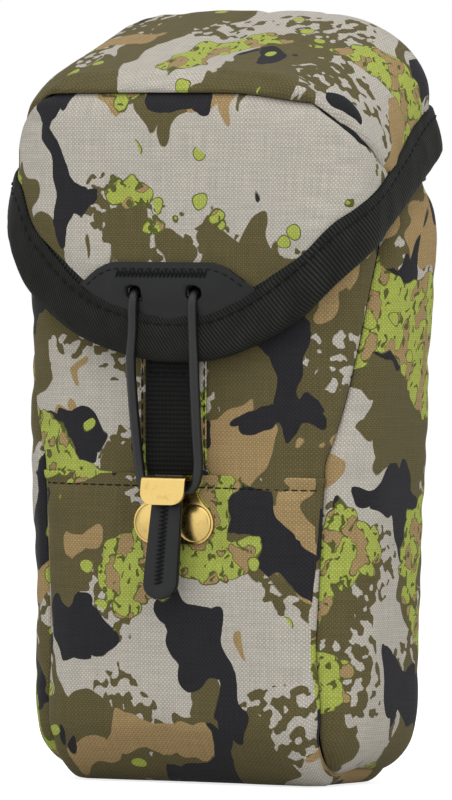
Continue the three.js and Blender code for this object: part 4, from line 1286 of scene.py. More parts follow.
@dataclass(frozen=True)
class LidForm:
    """Outer cloth of the lid: a hood with a sloped top, round shoulders and a curved lower edge."""

    half_width: float = 48.5
    flare: float = 0.045
    front: float = 32.7
    back: float = 28.8
    corner: float = 14.0
    back_corner: float = 12.0
    crown: float = 2.0
    crease: float = 171.5
    top_back: float = 191.0
    top_crown: float = 2.0
    top_reach: float = 1.25
    side_roll_in: float = 18.0
    side_roll_rise: float = 28.0
    front_roll_in: float = 5.0
    front_roll_rise: float = 4.5
    back_roll_in: float = 12.0
    back_roll_rise: float = 13.0
    left_shoulder: float = 1.1
    right_shoulder: float = 0.78
    right_lean: float = 5.6
    left_lean: float = 2.6
    tip: float = 104.0
    hinge: float = 159.9
    binding: float = 9.5
    edge_places: tuple[float, ...] = (0.0, 0.084, 0.168, 0.248, 0.313, 0.378, 0.448, 0.53, 0.63, 0.7, 0.757, 1.0)
    right_rises: tuple[float, ...] = (0.03, 0.045, 0.138, 0.283, 0.43, 0.55, 0.66, 0.79, 0.93, 0.98, 1.0, 1.0)
    left_rises: tuple[float, ...] = (0.03, 0.07, 0.165, 0.345, 0.55, 0.67, 0.75, 0.83, 0.93, 0.98, 1.0, 1.0)
    seam_drops: tuple[float, ...] = (0.0, 0.06, 0.25, 0.42, 0.62, 1.0)
    seam_depths: tuple[float, ...] = (1.0, 0.95, 0.78, 0.62, 0.45, 0.1)
    seam_fall: float = 29.0
    right_droop: float = 2.4

    def loop(self, half_width: float, front: float, back: float, corners: tuple[float, float]) -> Array:
        """Plan outline from the front middle round to the right and back to the front middle.

        Args:
            half_width: half the width.
            front: depth in front of the middle.
            back: depth behind it.
            corners: radii of the front and the back corners.

        Returns:
            For each station its x, y and the two parts of its normal.
        """
        near, far = corners
        stations: list[tuple[float, float, float, float]] = []
        for share in np.linspace(0, 1, 26)[:-1]:
            stations.append((share * (half_width - near), -front, 0.0, -1.0))
        for angle in np.linspace(-90, 0, 22):
            c, s = math.cos(math.radians(angle)), math.sin(math.radians(angle))
            stations.append((half_width - near + near * c, near - front + near * s, c, s))
        for share in np.linspace(0, 1, 20)[1:-1]:
            stations.append((half_width, near - front + share * (back - far - near + front), 1.0, 0.0))
        for angle in np.linspace(0, 90, 20):
            c, s = math.cos(math.radians(angle)), math.sin(math.radians(angle))
            stations.append((half_width - far + far * c, back - far + far * s, c, s))
        for share in np.linspace(0, 1, 22)[1:]:
            stations.append(((1 - share) * (half_width - far), back, 0.0, 1.0))
        right = np.array(stations)
        left = right[-2:0:-1].copy()
        left[:, 0] *= -1
        left[:, 2] *= -1
        loop = np.concatenate([right, left])
        forward = np.maximum(0.0, -loop[:, 3])
        bow = np.cos(math.pi / 2 * np.minimum(1, np.abs(loop[:, 0]) / half_width))
        loop[:, 1] -= self.crown * forward * bow
        return loop

    def upright(self) -> Array:
        """Plan outline of the lid's wall at the crease."""
        return self.loop(self.half_width, self.front, self.back, (self.corner, self.back_corner))

    def wall(self, heights: Array, offset: float | Array = 0.0) -> Array:
        """Points on the wall, one for each station, at given heights.

        Args:
            heights: one height for each station.
            offset: how far out of the cloth.

        Returns:
            The points.
        """
        loop = self.upright()
        wide = self.flare * np.maximum(0.0, self.crease - heights)
        reach = np.minimum(1.0, np.abs(loop[:, 0]) / (self.half_width - self.corner))
        x = loop[:, 0] + np.sign(loop[:, 0]) * wide * reach + loop[:, 2] * offset
        right = self.right_lean * ramp(heights, 146.0, 180.0) * ramp(loop[:, 1], -34.0, 6.0)
        left = self.left_lean * ramp(heights, 134.0, 166.0)
        x = x - np.where(loop[:, 0] > 0, right, -left) * reach
        return np.stack([x, loop[:, 1] + loop[:, 3] * offset, heights], axis=1)

    def shares(self) -> Array:
        """How far round half the loop each station lies, from the front middle."""
        loop = self.upright()[:, :2]
        steps = np.linalg.norm(np.roll(loop, -1, axis=0) - loop, axis=1)
        along = np.concatenate([[0.0], np.cumsum(steps)[:-1]])
        total = steps.sum()
        return np.minimum(along, total - along) / (total / 2)

    def edge_heights(self) -> Array:
        """Height of the lower edge at each station."""
        shares = self.shares()
        right = self.upright()[:, 0] >= 0
        rises = np.where(right, self._curve(self.right_rises, shares), self._curve(self.left_rises, shares))
        return self.tip + rises * (self.hinge - self.tip)

    def _curve(self, values: Sequence[float], at: Array) -> Array:
        """Smooth curve through the edge's rises."""
        places = np.array(self.edge_places)
        heights = np.array(values)
        slopes = np.zeros(len(places))
        slopes[1:-2] = (heights[2:-1] - heights[:-3]) / (places[2:-1] - places[:-3])
        span = np.clip(np.searchsorted(places, at, side="right") - 1, 0, len(places) - 2)
        width = places[span + 1] - places[span]
        t = (at - places[span]) / width
        rise = heights[span + 1] - heights[span]
        start, end = slopes[span] * width, slopes[span + 1] * width
        return heights[span] + t * (start + t * (3 * rise - 2 * start - end + t * (start + end - 2 * rise)))

    def stretch(self) -> Array:
        """How much taller than its width the tape stands where the edge slopes."""
        heights = self.edge_heights()
        loop = self.upright()[:, :2]
        ahead = np.roll(loop, -1, axis=0)
        behind = np.roll(loop, 1, axis=0)
        run = np.linalg.norm(ahead - loop, axis=1) + np.linalg.norm(loop - behind, axis=1)
        slope = (np.roll(heights, -1) - np.roll(heights, 1)) / run
        return np.sqrt(1 + slope**2)

    def shoulder(self, x: Array, y: Array) -> Array:
        """How far the top reaches sideways, which differs left and right."""
        back = (y + self.front) / (self.front + self.back)
        return np.where(x < 0, self.left_shoulder, 1 + (self.right_shoulder - 1) * back)

    def top_height(self, x: Array, y: Array) -> Array:
        """Height of the sloped top over places in plan."""
        back = (y + self.front) / (self.front + self.back)
        side = x / self.shoulder(x, y) / (self.half_width - self.side_roll_in)
        start = self.crease + self.front_roll_rise / 2
        rise = np.minimum(1, back * self.top_reach)
        return start + (self.top_back - start) * rise - self.top_crown * side**2

    def seam_heights(self) -> Array:
        """Height of the seam between flap and top at each station, or zero where there is none."""
        loop = self.upright()
        depth = np.clip(-loop[:, 1] / self.front, 0.0, 1.0)
        drops = np.interp(depth, self.seam_depths[::-1], self.seam_drops[::-1])
        heights = self.crease - 1.3 * np.maximum(0.0, -loop[:, 3]) - drops * self.seam_fall
        heights -= self.right_droop * ramp(loop[:, 0], 16.0, 40.0) * ramp(depth, 0.5, 0.9)
        return np.where(-loop[:, 1] < self.seam_depths[-1] * self.front, 0.0, heights)

    def columns(self, offset: float = 0.0, rows: int = 72) -> Array:
        """The whole lid as a grid: rows from the lower edge up over the roll to the middle.

        Args:
            offset: how far out of the cloth; negative is inside.
            rows: how many rows.

        Returns:
            The grid, its first row on the edge.
        """
        brow = self.loop(
            self.half_width - self.side_roll_in,
            self.front - self.front_roll_in,
            self.back - self.back_roll_in,
            (self.corner / 2, self.back_corner / 2),
        )
        brow[:, 0] *= self.shoulder(brow[:, 0], brow[:, 1])
        sideways = brow[:, 2] ** 2
        side_rise = self.side_roll_rise / self.shoulder(brow[:, 0], brow[:, 1])
        rise = np.where(brow[:, 3] < 0, self.front_roll_rise, self.back_roll_rise)
        rise = rise + (side_rise - rise) * sideways
        edge = self.edge_heights()
        brow_top = self.top_height(brow[:, 0], brow[:, 1])
        start = np.maximum(brow_top - rise, edge + self.binding * self.stretch())
        high = self.wall(start)
        grid = []
        wall_rows, roll_rows = rows // 2, rows // 4
        for share in np.linspace(0, 1, wall_rows):
            grid.append(self.wall(edge + (start - edge) * share))
        for turn in np.linspace(0, math.pi / 2, roll_rows)[1:]:
            inward = 1 - math.cos(turn)
            x = high[:, 0] + (brow[:, 0] - high[:, 0]) * inward
            y = high[:, 1] + (brow[:, 1] - high[:, 1]) * inward
            z = start + (brow_top - start) * math.sin(turn)
            grid.append(np.stack([x, y, z], axis=1))
        middle_y = (self.back - self.front) / 2
        ridge = np.clip(brow[:, 1], middle_y - 12, middle_y + 6)
        for share in np.linspace(0, 1, rows - wall_rows - roll_rows + 2)[1:]:
            x = brow[:, 0] * (1 - share)
            y = brow[:, 1] + (ridge - brow[:, 1]) * share
            grid.append(np.stack([x, y, self.top_height(x, y)], axis=1))
        result = np.array(grid)
        if offset:
            result = result - grid_normals(result, wrap=True) * offset
        return result


def resample(column: Array, count: int, start: float, end: float) -> Array:
    """Points evenly spaced along a line between two lengths of it.

    Args:
        column: the line's points.
        count: how many points to give.
        start: length at which to start.
        end: length at which to end.

    Returns:
        The points.
    """
    steps = np.linalg.norm(np.diff(column, axis=0), axis=1)
    along = np.concatenate([[0.0], np.cumsum(steps)])
    at = np.linspace(start, end, count)
    return np.stack([np.interp(at, along, column[:, axis]) for axis in range(3)], axis=1)


# ---------------------------------------------------------------- sub-assemblies


@dataclass
class Studio:
    """Camera at the photograph's angle, soft lights, and a pale floor."""

    azimuth: float = 27.0
    elevation: float = 0.8
    distance: float = 2.4
    lens: float = 435.0
    roll: float = 0.55
    aim_height: float = 0.0945
    floor_half: float = 60.0

    def build(self) -> None:
        """Makes the camera, the lights, the world and the floor."""
        self._camera()
        self._lights()
        self._world()
        self._floor()

    def _direction(self, azimuth: float, elevation: float) -> Vector:
        """Unit vector from the object towards a place seen at those angles."""
        around, up = math.radians(azimuth), math.radians(elevation)
        return Vector((math.sin(around) * math.cos(up), -math.cos(around) * math.cos(up), math.sin(up)))

    def _camera(self) -> None:
        """Makes the camera."""
        data = bpy.data.cameras.new("camera")
        data.lens = self.lens
        data.sensor_width = 36.0
        camera = bpy.data.objects.new("camera", data)
        aim = Vector((0.0, 0.0, self.aim_height))
        camera.location = aim + self._direction(self.azimuth, self.elevation) * self.distance
        turn = Matrix.Rotation(math.radians(self.roll), 4, "Z")
        facing = (aim - camera.location).to_track_quat("-Z", "Y").to_matrix().to_4x4()
        camera.rotation_euler = (facing @ turn).to_euler()
        bpy.context.scene.collection.objects.link(camera)
        bpy.context.scene.camera = camera

    def _lights(self) -> None:
        """Makes three large soft lamps: a key, a fill and one from above."""
        for name, azimuth, elevation, size, power in (
            ("key", -22.0, 34.0, 2.2, 13.0),
            ("fill", 72.0, 18.0, 2.0, 14.0),
            ("top", 20.0, 78.0, 1.9, 6.0),
        ):
            data = bpy.data.lights.new(name, "AREA")
            data.shape = "SQUARE"
            data.size = size
            data.energy = power
            lamp = bpy.data.objects.new(name, data)
            aim = Vector((0.0, 0.0, 0.1))
            lamp.location = aim + self._direction(azimuth, elevation) * 1.3
            lamp.rotation_euler = (aim - lamp.location).to_track_quat("-Z", "Y").to_euler()
            bpy.context.scene.collection.objects.link(lamp)

    def _world(self) -> None:
        """Makes a plain world that the camera and shiny surfaces see as white."""
        world = bpy.data.worlds.new("studio")
        bpy.context.scene.world = world
        world.use_nodes = True
        tree = world.node_tree
        tree.nodes.clear()
        path = add_node(tree, "ShaderNodeLightPath")
        seen = add_node(
            tree,
            "ShaderNodeMath",
            {"operation": "MAXIMUM"},
            {0: path.outputs["Is Camera Ray"], 1: path.outputs["Is Transmission Ray"]},
        )
        seen = add_node(
            tree, "ShaderNodeMath", {"operation": "MAXIMUM"}, {0: seen.outputs[0], 1: path.outputs["Is Glossy Ray"]}
        )
        level = add_node(tree, "ShaderNodeMapRange", links={0: seen.outputs[0], 3: 0.36, 4: 1.0})
        shine = add_node(tree, "ShaderNodeBackground", links={"Strength": level.outputs[0]})
        shine.inputs["Color"].default_value = (1.0, 1.0, 1.0, 1.0)
        output = add_node(tree, "ShaderNodeOutputWorld")
        tree.links.new(shine.outputs[0], output.inputs[0])

    def _floor(self) -> None:
        """Makes a white floor that keeps the object's soft shadow."""
        mesh = bpy.data.meshes.new("floor")
        reach = self.floor_half
        corners = [(-reach, -reach, 0), (reach, -reach, 0), (reach, reach, 0), (-reach, reach, 0)]
        mesh.from_pydata(corners, [], [(0, 1, 2, 3)])
        floor = bpy.data.objects.new("floor", mesh)
        floor.location.z = -0.0002
        bpy.context.scene.collection.objects.link(floor)
        graph = Graph("studio_floor")
        path = graph.node("ShaderNodeLightPath")
        seen = graph.math("MAXIMUM", path.outputs["Is Camera Ray"], path.outputs["Is Glossy Ray"])
        seen = graph.math("MAXIMUM", seen, path.outputs["Is Transmission Ray"])
        strength = graph.math("MULTIPLY", seen, 0.8)
        matt = graph.node("ShaderNodeBsdfDiffuse", links={"Color": linear("#cfcfce")})
        glow = graph.node("ShaderNodeEmission", links={"Strength": strength})
        both = graph.node("ShaderNodeAddShader", links={0: matt.outputs[0], 1: glow.outputs[0]})
        mesh.materials.append(graph.finish(both))


@dataclass
class Pouch:
    """The sewn body: front panel that wraps under the base, two gussets, back panel and pocket."""

    finishes: Finishes
    form: BodyForm
    settling: ClothSettling
    pad: float = 2.6
    hem_height: float = 76.5
    hem_lean: float = 0.009
    hem_width: float = 3.1
    pocket_thickness: float = 1.0
    plate_back: float = -28.9
    side_bulge: float = 1.9

    def build(self) -> None:
        """Makes the body's panels."""
        self.front = self._front()
        self.gussets = [self._gusset(1), self._gusset(-1)]
        self.back = self._back()
        self.pocket = self._pocket()

    def _panel(
        self,
        name: str,
        points: Array,
        relief: PanelRelief,
        cut: tuple[float, float],
        stands_for: Sequence[str],
        tilt: float = 0.0,
        lush: float = -0.02,
    ) -> bpy.types.Object:
        """Makes one padded panel: relief, settled cloth, thickness and finish.

        Args:
            name: the piece's name.
            points: the panel's grid.
            relief: its swelling, seams and puckers.
            cut: where on the print it was cut.
            stands_for: CAD nodes that it replaces.
            tilt: how far it was turned on the print, in degrees.
            lush: how much more lime growth that part of the print has.

        Returns:
            The finished panel.
        """
        free = ramp(edge_distances(points)["top"], 7.0, 15.0)
        moved = points + (relief.apply(points) - points) * free[..., None]
        piece = grid_piece(name, moved, flat_map(points))
        pins = border(*points.shape[:2], 2)
        self.settling.run(piece, [*pins, *np.flatnonzero(free.ravel() < 0.1).tolist()])
        press(piece, self.plate_back + self.pocket_thickness + 0.1)
        thicken(piece, self.pad, levels=1)
        cloth = self.finishes.cloth.make(cut, tilt, lush)
        return dress(piece, cloth, Body.POUCH, stands_for)

    def _front(self) -> bpy.types.Object:
        """Makes the front panel and the base that it wraps under."""
        points = self.form.wrap(64)
        relief = PanelRelief(seed=2.1)
        return self._panel(
            "front_padded_panel", points, relief, (40.0, 130.0), ("front_panel", "front_foam", "base_foam")
        )

    def _gusset(self, side: int) -> bpy.types.Object:
        """Makes one side gusset, fuller near the mouth."""
        points = self.form.gusset(side, 44)
        near = ramp(points[..., 2], 40.0, 118.0) * (1 - ramp(points[..., 2], 140.0, 152.0))
        middle = np.sin(np.linspace(0, math.pi, points.shape[1]))[None, :]
        points[..., 0] += side * self.side_bulge * near * middle**0.6
        name = "right" if side > 0 else "left"
        relief = PanelRelief(
            ("left", "right", "bottom"), seed=5.0 + side, swell=0.7, lumps=0.3, valley=1.5, valley_width=1.7
        )
        cut = (210.0, 60.0) if side > 0 else (-160.0, 90.0)
        return self._panel(
            f"{name}_padded_gusset", points, relief, cut, (f"{name}_gusset", f"{name}_foam"), 12.0, 0.06
        )

    def _back(self) -> bpy.types.Object:
        """Makes the back panel."""
        points = self.form.wrap(64, part="back")
        relief = PanelRelief(("left", "right", "bottom"), seed=9.4)
        return self._panel("back_padded_panel", points, relief, (-300.0, 40.0), ("back_panel", "back_foam"))

    def _pocket(self) -> bpy.types.Object:
        """Makes the pocket panel: a second layer with a turned and stitched hem along its top."""
        points = self.form.wrap(64, top=self.hem_height, step=1.5, part="pocket")
        lean = -self.hem_lean * points[..., 0] * ramp(points[..., 2], 40.0, self.hem_height)
        points[..., 2] += lean
        flat = flat_map(points)
        relief = PanelRelief(("left", "right"), swell=0.8, valley=2.4, valley_width=1.7, seed=13.0, lumps=0.4)
        points = relief.apply(points) + grid_normals(points) * 0.9
        depth = edge_distances(points)["top"]
        hem = 0.55 * (1 - ramp(depth, self.hem_width - 0.4, self.hem_width + 0.2))
        groove = -0.75 * np.exp(-(((depth - self.hem_width) / 0.55) ** 2))
        points = points + grid_normals(points) * (hem + groove)[..., None]
        piece = grid_piece("pocket_panel_cloth", points, flat)
        self.settling.run(piece, border(*points.shape[:2], 2))
        press(piece, self.plate_back + 0.05)
        thicken(piece, self.pocket_thickness, levels=1, rounding=0.25)
        cloth = self.finishes.cloth.make((-70.0, -60.0), -8.0, lush=-0.02)
        return dress(piece, cloth, Body.POUCH, ("front_pocket_panel",))


def press(piece: bpy.types.Object, face: float) -> None:
    """Presses a sheet in behind the hook's plate, and keeps all of it off the ground.

    Args:
        piece: a sheet of the body's front.
        face: depth in drawing millimetres past which nothing stands out behind the plate.
    """
    places = np.array([vertex.co for vertex in piece.data.vertices], float) / MM
    places[:, 1] -= ORIGIN_SHIFT
    x, y, z = places.T
    weight = (1 - ramp(np.abs(x), 11.0, 17.0)) * ramp(z, 52.0, 58.5) * (1 - ramp(z, 74.0, 80.0))
    places[:, 1] = np.where(y < 0, y + (np.maximum(y, face) - y) * weight, y)
    places[:, 2] = np.maximum(z, 0.1)
    piece.data.vertices.foreach_set("co", to_metres(places).astype(np.float32).ravel())
    piece.data.update()


@dataclass
class HemStitches:
    """Row of lockstitches along the pocket's hem."""

    finishes: Finishes
    pouch: Pouch
    below: float = 3.1
    half_width: float = 37.4

    def build(self) -> None:
        """Sews the row on the settled hem."""
        surface = Surface(self.pouch.pocket)
        x = np.linspace(-self.half_width, self.half_width, 120)
        z = self.pouch.hem_height - self.pouch.hem_lean * x - self.below
        y = np.array([surface.front(a, b) for a, b in zip(x, z)])
        path = np.stack([x, y, z], axis=1)
        row = StitchRow("hem_stitches", pitch=2.3, length=2.15, radius=0.2, sink=0.16)
        row.sew(path, self.finishes, Slot.TAPE, Body.POUCH)


@dataclass
class Strap:
    """Webbing that runs down the middle to the hem, and the strip of printed cloth behind it."""

    finishes: Finishes
    form: BodyForm
    pouch: Pouch
    half_width: float = 7.2
    backing_half_width: float = 9.0
    low: float = 76.2
    high: float = 110.0
    thickness: float = 1.1
    backing_thickness: float = 0.5

    def build(self) -> None:
        """Makes both strips."""
        surface = Surface(self.pouch.front)
        backing = self._strip("strap_backing_cloth", surface, self.backing_half_width, 0.55, 12)
        thicken(backing, self.backing_thickness, levels=1, rounding=0.12)
        cloth = self.finishes.cloth.make((140.0, -175.0), 30.0, lush=-0.1)
        dress(backing, cloth, Body.POUCH, ("strap_backing",))
        strap = self._strip("webbing_strap", surface, self.half_width, 1.75, 16)
        thicken(strap, self.thickness, levels=1, rounding=0.3)
        dress(strap, self.finishes.webbing, Body.POUCH, ("closure_strap",))
        self._stitches(strap)
        surface = Surface(backing)
        for name, sign in (("left", -1), ("right", 1)):
            across = sign * (self.backing_half_width - 0.45)
            heights = np.linspace(self.high, self.low, 80)
            path = np.array([(across, surface.front(across, z), z) for z in heights])
            row = StitchRow(f"backing_stitches_{name}", radius=0.22)
            row.sew(path, self.finishes, Slot.TAPE, Body.POUCH)

    def _strip(
        self, name: str, surface: Surface, half_width: float, lift: float, columns: int
    ) -> bpy.types.Object:
        """Makes one strip that lies on the front panel, its face lifted off it."""
        rows = 34
        x = np.linspace(-half_width, half_width, columns)
        z = np.linspace(self.high, self.low, rows)
        points = np.zeros((rows, columns, 3))
        for row in range(rows):
            depth = np.array([surface.front(a, z[row]) for a in x])
            depth = depth * 0.35 + depth.mean() * 0.65
            points[row] = np.stack([x, depth - lift, np.full(columns, z[row])], axis=1)
        places = np.stack(np.meshgrid(x, z), axis=-1)
        return grid_piece(name, points, places)

    def _stitches(self, strap: bpy.types.Object) -> None:
        """Sews the strap's upper end down with a box of stitches."""
        surface = Surface(strap)
        inner, low, high = self.half_width - 1.2, self.high - 9.0, self.high - 1.6
        corners = [(-inner, high), (-inner, low), (inner, low), (inner, high), (-inner, high)]
        path = np.array([(x, surface.front(x * 0.98, z) - 0.02, z) for x, z in _walk(corners, 0.6)])
        row = StitchRow("strap_stitches", pitch=2.4, length=1.8)
        row.sew(path, self.finishes, Slot.TAPE, Body.POUCH)


def _walk(corners: Sequence[tuple[float, float]], step: float) -> list[tuple[float, float]]:
    """Places along straight runs between corners, a step apart."""
    places = []
    for (x0, y0), (x1, y1) in zip(corners, corners[1:]):
        count = max(2, int(math.hypot(x1 - x0, y1 - y0) / step))
        places += [(x0 + (x1 - x0) * k / count, y0 + (y1 - y0) * k / count) for k in range(count)]
    return [*places, corners[-1]]


@dataclass
class Lid:
    """The hood: a curved flap and a rolled top panel over thin foam, and its lining."""

    finishes: Finishes
    form: LidForm
    settling: ClothSettling
    pad: float = 1.6
    lining_inset: float = 2.3

    def build(self) -> None:
        """Makes the lid's panels and its lining."""
        self.grid = self.form.columns(rows=110)
        self.flap = self._flap()
        self.top = self._top()
        self._lining()

    def _lengths(self) -> tuple[Array, Array]:
        """Length of each column from the edge to the seam, and its whole length."""
        steps = np.linalg.norm(np.diff(self.grid, axis=0), axis=-1)
        along = np.concatenate([np.zeros((1, self.grid.shape[1])), np.cumsum(steps, axis=0)])
        seam = self.form.seam_heights()
        at = np.zeros(self.grid.shape[1])
        for column in range(self.grid.shape[1]):
            if seam[column] > self.grid[0, column, 2]:
                at[column] = np.interp(seam[column], self.grid[:, column, 2], along[:, column])
        return at, along[-1]

    def _flap(self) -> bpy.types.Object:
        """Makes the flap, from the lower edge up to the seam with the top."""
        seam, _ = self._lengths()
        count = self.grid.shape[1]
        reach = [column for column in range(count) if seam[column] > 2.0]
        half = count // 2
        order = [c for c in reach if c > half] + [c for c in reach if c <= half]
        points = np.stack([resample(self.grid[:, c], 60, seam[c], 0.0) for c in order], axis=1)
        flat = flat_map(points)
        flat[..., 1] = points[..., 2]
        relief = PanelRelief(
            ("left", "right", "top"), swell=0.25, valley=2.3, valley_width=1.5, lumps=0.3, seed=21.0, puckers=0.2
        )
        covered = self._covered(points, self.form.stretch()[order])
        moved = points + (relief.apply(points) - points) * covered[..., None]
        piece = grid_piece("lid_flap_cloth", moved, flat)
        pins = border(*points.shape[:2], 3)
        self.settling.run(piece, [*pins, *np.flatnonzero(covered.ravel() < 0.2).tolist()])
        thicken(piece, self.pad, levels=1)
        pierce(piece, CordPatch.half_spacing, CordPatch.hole_height, CordPatch.hole_radius)
        cloth = self.finishes.cloth.make((20.0, 17.0), 4.0, bare=0.05)
        return dress(piece, cloth, Body.LID, ("lid_flap", "lid_foam"))

    @staticmethod
    def _covered(points: Array, stretch: Array) -> Array:
        """Zero where the binding lies on a panel's lower edge, so that nothing swells there."""
        return ramp(edge_distances(points)["bottom"] / stretch, 9.9, 17.0)

    def _top(self) -> bpy.types.Object:
        """Makes the top panel, from the seam or the edge over the shoulders to the ridge."""
        seam, whole = self._lengths()
        columns = [resample(self.grid[:, c], 84, whole[c], seam[c]) for c in range(self.grid.shape[1])]
        points = np.stack(columns, axis=1)
        relief = PanelRelief(
            ("bottom",), swell=0.6, valley=1.0, valley_width=0.9, lumps=0.5, lump_size=24.0, seed=31.0
        )
        covered = np.where(seam > 2.0, 1.0, self._covered(points, self.form.stretch()))
        moved = points + (self._wrapped_relief(points, relief) - points) * covered[..., None]
        moved[0] = (moved[0] + np.roll(moved[0, ::-1], 1, axis=0)) / 2
        piece = grid_piece("lid_top_cloth", moved, self._top_map(points), wrap=True)
        count = points.shape[1]
        held = {row * count + c for row in (0, 81, 82, 83) for c in range(count)}
        held |= set(np.flatnonzero(covered.ravel() < 0.2).tolist())
        places = {tuple(round(c, 6) for c in piece.data.vertices[index].co) for index in held}
        weld(piece, closed=False)
        kept = enumerate(piece.data.vertices)
        self.settling.run(piece, [i for i, v in kept if tuple(round(c, 6) for c in v.co) in places])
        thicken(piece, self.pad, levels=1)
        cloth = self.finishes.cloth.make((-120.0, 230.0), -20.0, lush=-0.12, bare=0.08)
        dress(piece, cloth, Body.LID, ("lid_top",))
        piece.data.materials.append(self.finishes.tape)
        for face in piece.data.polygons:
            if face.center.y > 0.024 and face.center.z < 0.1632:
                face.material_index = 1
        return piece

    @staticmethod
    def _wrapped_relief(points: Array, relief: PanelRelief) -> Array:
        """Applies a relief to a grid that closes on itself."""
        margin = 6
        wide = np.concatenate([points[:, -margin:], points, points[:, :margin]], axis=1)
        return relief.apply(wide)[:, margin:-margin]

    def _top_map(self, points: Array) -> Array:
        """Lays the top flat: its middle as it is seen from above, its sides folded outwards."""
        distances = edge_distances(points)["top"]
        start = points[0]
        heading = points[len(points) // 2] - start
        heading = heading[:, :2] / np.maximum(np.linalg.norm(heading[:, :2], axis=1, keepdims=True), 1e-6)
        return start[None, :, :2] + heading[None] * distances[..., None]

    def _lining(self) -> None:
        """Makes the lining: up the wall inside the pad, then over in one low dome."""
        form = self.form
        edge = form.edge_heights()
        middle = (form.back - form.front) / 2
        apex = float(form.top_height(np.array(0.0), np.array(middle))) - 7.0
        brow = form.top_height(form.upright()[:, 0] * 0.6, form.upright()[:, 1] * 0.8)
        start = np.maximum(brow - np.where(form.upright()[:, 1] < -20.0, 10.0, 22.0), edge + 4.0)
        window = np.hanning(27) / np.hanning(27).sum()
        start = np.convolve(np.concatenate([start[-13:], start, start[:13]]), window, mode="valid")
        start = np.maximum(start, edge + 1.0)
        rows = [form.wall(edge + (start - edge) * share, -self.lining_inset) for share in np.linspace(0, 1, 18)]
        high = rows[-1]
        for turn in np.linspace(0.0, math.pi / 2, 34)[1:]:
            share = math.cos(turn)
            x, y = high[:, 0] * share, middle + (high[:, 1] - middle) * share
            rows.append(np.stack([x, y, start + (apex - start) * math.sin(turn)], axis=1))
        inner = np.array(rows)[::-1][:, ::-1]
        piece = grid_piece("lid_lining_cloth", inner, inner[..., :2], wrap=True)
        weld(piece, closed=False)
        flip_faces(piece, Vector((0.0, 0.0, 0.13)), outwards=False)
        thicken(piece, 0.4)
        dress(piece, self.finishes.lining, Body.LID, ("lid_lining",))


def flip_faces(piece: bpy.types.Object, centre: Vector, outwards: bool) -> None:
    """Turns an open sheet's faces away from, or towards, a point."""
    work = bmesh.new()
    work.from_mesh(piece.data)
    work.normal_update()
    total = sum((face.calc_center_median() - centre).dot(face.normal) for face in work.faces)
    if (total > 0) != outwards:
        bmesh.ops.reverse_faces(work, faces=work.faces)
    work.to_mesh(piece.data)
    work.free()


def pierce(piece: bpy.types.Object, half_spacing: float, height: float, radius: float) -> None:
    """Cuts the two cord holes through a closed piece.

    Args:
        piece: the piece to cut.
        half_spacing: how far each hole lies from the middle, in millimetres.
        height: the holes' height.
        radius: their radius.
    """
    for sign in (-1, 1):
        path = np.array([(sign * half_spacing, y, height) for y in (-45.0, -25.0)])
        cutter = tube_piece("cutter", path, radius, 28, capped=False)
        cut = piece.modifiers.new("hole", "BOOLEAN")
        cut.operation = "DIFFERENCE"
        cut.solver = "EXACT"
        cut.object = cutter
        bake(piece)
        bpy.data.objects.remove(cutter)
    smooth(piece)


